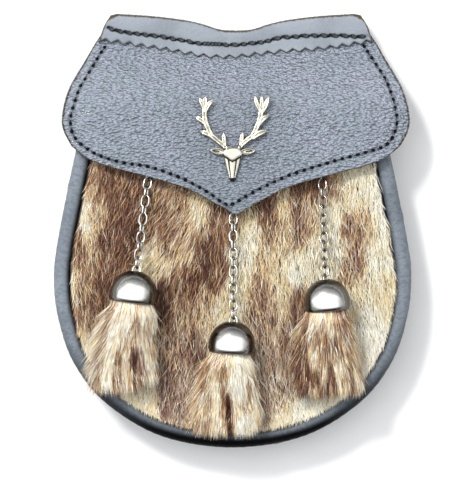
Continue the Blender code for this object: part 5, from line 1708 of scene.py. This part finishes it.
def stag():
    """The cast stag's head: ridged face, brow plate, hollow ears, leaf-shaped grooved tines."""
    head = [(HEAD_MIDDLE * mm, y * mm, 0, half * mm, thick * mm) for y, half, thick in HEAD]
    brow = smooth_line(BROW + BROW[:1], 33)[:0:-1]
    pieces = [grow("head", HEAD_RING, head), leaf_plate("brow", brow, 2.2, 3.8, -0.16)]
    for (x0, y0), (x1, y1) in EARS:
        root, along = np.array((x0, y0)), np.array((x1 - x0, y1 - y0))
        across = np.array((-along[1], along[0])) / np.linalg.norm(along)
        sides = [[root + along * s + across * half * way for s, half in EAR_WIDTHS] for way in (1, -1)]
        ear = sides[0] + sides[1][::-1]
        pieces.append(leaf_plate("ear", ear[::-1], 0.5, 2.4, 0.45))
    for hand, beam in enumerate(BEAMS):
        line = smooth_line(beam, 24)
        radii = np.interp(np.linspace(0, 1, 24), (0, 0.2, 0.6, 1), (1.1, 1.35, 1.45, 1.4))
        radii = radii * (1 + 0.07 * np.sin(np.arange(24) * 1.9 + hand))
        stations = [(x * mm, y * mm, 2.0 * mm, r * mm, r * 0.9 * mm) for (x, y), r in zip(line, radii)]
        pieces.append(grow("beam", GROOVED, stations))
        x, y = beam[0]
        bpy.ops.mesh.primitive_uv_sphere_add(segments=16, ring_count=10, radius=1.15 * mm,
                                             location=(x * mm, (y + 0.5) * mm, 2.7 * mm))
        pieces.append(named("burr"))
        bpy.ops.object.transform_apply(location=True, rotation=False, scale=False)
    for k, (root, tip, half) in enumerate(TINES):
        root, along = np.array(root), np.array(tip) - root
        bow = np.array((-along[1], along[0])) * TINE_BOWS[k % 6] * (1 if k < 6 else -1)
        stations = []
        for s in np.linspace(0, 1, 12):
            x, y = root + along * s + bow * math.sin(math.pi * s)
            wide = half * 1.1 * np.interp(s, *np.array(TINE_SHAPE).T)
            stations.append((x * mm, y * mm, (2.1 + 0.15 * (k % 2)) * mm, wide * mm, wide * 0.8 * mm))
        pieces.append(grow("tine", GROOVED, stations))
    badge = joined("stag_head", pieces)
    modify(badge, "REMESH", mode="VOXEL", voxel_size=CASTING_GRAIN, adaptivity=0.0)
    modify(badge, "SMOOTH", factor=0.5, iterations=1)
    shade_hollows(badge)
    # the nose, the ears' hollows and the fold under the brow are black, and the sides that face away from the
    # front are painted shade
    found, patina_and_shade = places_of(badge), badge.data.attributes["patina_and_shade"].data
    flat = found[:, :2]
    shades = [[item.value for item in patina_and_shade], painted_side_shade(badge, 0.5, 0.1, 0.9)]
    shades.append(ease((-15.0 * mm - found[:, 1]) / (0.6 * mm)))
    for root, tip in np.array(EARS) * mm:
        near = distance_to(flat, (root * 0.6 + tip * 0.4, root * 0.25 + tip * 0.75))
        shades.append(ease((0.6 * mm - near) / (0.4 * mm)) * (found[:, 2] > 0.6 * mm))
    near = distance_to(flat, np.array(BROW_FOLD) * mm)
    shades.append(ease((0.5 * mm - near) / (0.3 * mm)) * (found[:, 2] < 3.45 * mm))
    patina_and_shade.foreach_set("value", np.maximum.reduce(shades))
    slope = math.atan(FLAP_FALL)
    on_flap = flap_z(FLAP_LEAN, BADGE_HEIGHT) + FLAP_THICKNESS / math.cos(slope) + GAP
    place = Matrix.Translation((FLAP_LEAN / 2, BADGE_HEIGHT, on_flap))
    badge.data.transform(place @ Matrix.Rotation(-slope, 4, "X"))
    return smooth(badge, 60)


# ---- The whole pouch -----------------------------------------------------------------------
def leather_body(pebble, hide, wear):
    cut, flesh = cut_edge(), suede()
    pebbled = pebbled_leather(pebble, hide, wear)
    hinge_tones = (0.247, 0.277, 0.315, 1), (0.2, 0.224, 0.26, 1)
    hinge_skin = smooth_leather(hide, wear, "hinge leather", *hinge_tones, scale=640.0, depth=0.4)
    body_tones = (0.19, 0.218, 0.254, 1), (0.174, 0.2, 0.234, 1)
    body_skin = smooth_leather(hide, wear, "body leather", *body_tones)
    flap, flap_seam = flap_leather()
    finished(smooth(flap), "pebbled_leather", (pebbled, cut, flesh), "flap")
    hinge, hinge_seam = hinge_leather()
    finished(smooth(hinge), "smooth_leather", (hinge_skin, cut, flesh), "hinge_strip")
    finished(smooth(front_roll(), 60), "smooth_leather", (roll_leather(hide),), "front_welt")
    back, outline = back_leather()
    finished(smooth(back), "smooth_leather", (body_skin,), "back_panel")
    finished(smooth(gusset_leather(), 50), "smooth_leather", (body_skin, cut, flesh), "gusset")
    for side, x in (("left", -LOOP_OFFSET), ("right", LOOP_OFFSET)):
        finished(smooth(belt_loop(side, x)), "smooth_leather", (body_skin,), f"belt_loop_{side}")
    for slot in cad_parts["front_panel"].material_slots:
        slot.material = flesh
    dark = thread("dark thread", (0.02, 0.022, 0.028, 1), (0.085, 0.09, 0.1, 1))
    heavy = thread("heavy thread", (0.016, 0.018, 0.021, 1), (0.105, 0.114, 0.12, 1))
    sewn = seams(flap, flap_seam, hinge, hinge_seam, outline)
    for piece, skin in zip(sewn, (dark, needle_hole(), heavy, dark)):
        finished(smooth(piece, 60), "smooth_leather", (skin,))


def pelt_and_tassels(tarnish):
    hair = (fur(),)
    # the skin under the hair is the dark suede, which stands for the shade between the hairs
    finished(smooth(pelt_skin()), "fur", (suede(),), "fur_front")
    fewer = 1.0
    for k in range(3):
        finished(pelt(f"pelt_{k + 1}", int(PELT_HAIRS * fewer), SEED + 10 + k), "fur", hair)
    bright = (silver(tarnish, "antique silver", (0.62, 0.6, 0.55, 1), (0.06, 0.054, 0.047, 1)),)
    # a darker copy of the silver, for the right chain
    old = (silver(tarnish, "darker silver", (0.36, 0.34, 0.3, 1), (0.03, 0.027, 0.022, 1)),)
    polished = (gunmetal(tarnish),)
    pattern = fine_link()
    for side, rim_x, rim_y, turn, last_roll in TASSELS:
        place = tassel_frame(rim_x, rim_y, turn)
        piece = tassel_fur(side, rim_y, int(TASSEL_HAIRS * fewer), SEED + 20 + len(side))
        finished(piece, "fur", hair, f"tassel_{side}")
        finished(cap(side, place), "dark_silver", polished, f"dome_{side}")
        links, nodes = chain(side, pattern)
        # painted shade on the links' sides that face away from the front
        note(links, "patina_and_shade", painted_side_shade(links, 0.8, 0.25, 1.0))
        finished(smooth(links, 60), "antique_silver", old if side == "right" else bright, *nodes)
        staple, bail = wires(side, place, math.radians(last_roll))
        finished(staple, "antique_silver", bright, f"staple_{side}")
        finished(bail, "antique_silver", bright)
    bpy.data.objects.remove(pattern)
    cast = silver(tarnish, "badge silver", (0.55, 0.53, 0.44, 1), (0.02, 0.018, 0.016, 1), 1300.0, 0.05)
    finished(stag(), "antique_silver", (cast,), "stag_badge")


leather_body(pebble_effect(), hide_effect(), wear_effect())
pelt_and_tassels(tarnish_effect())
studio()
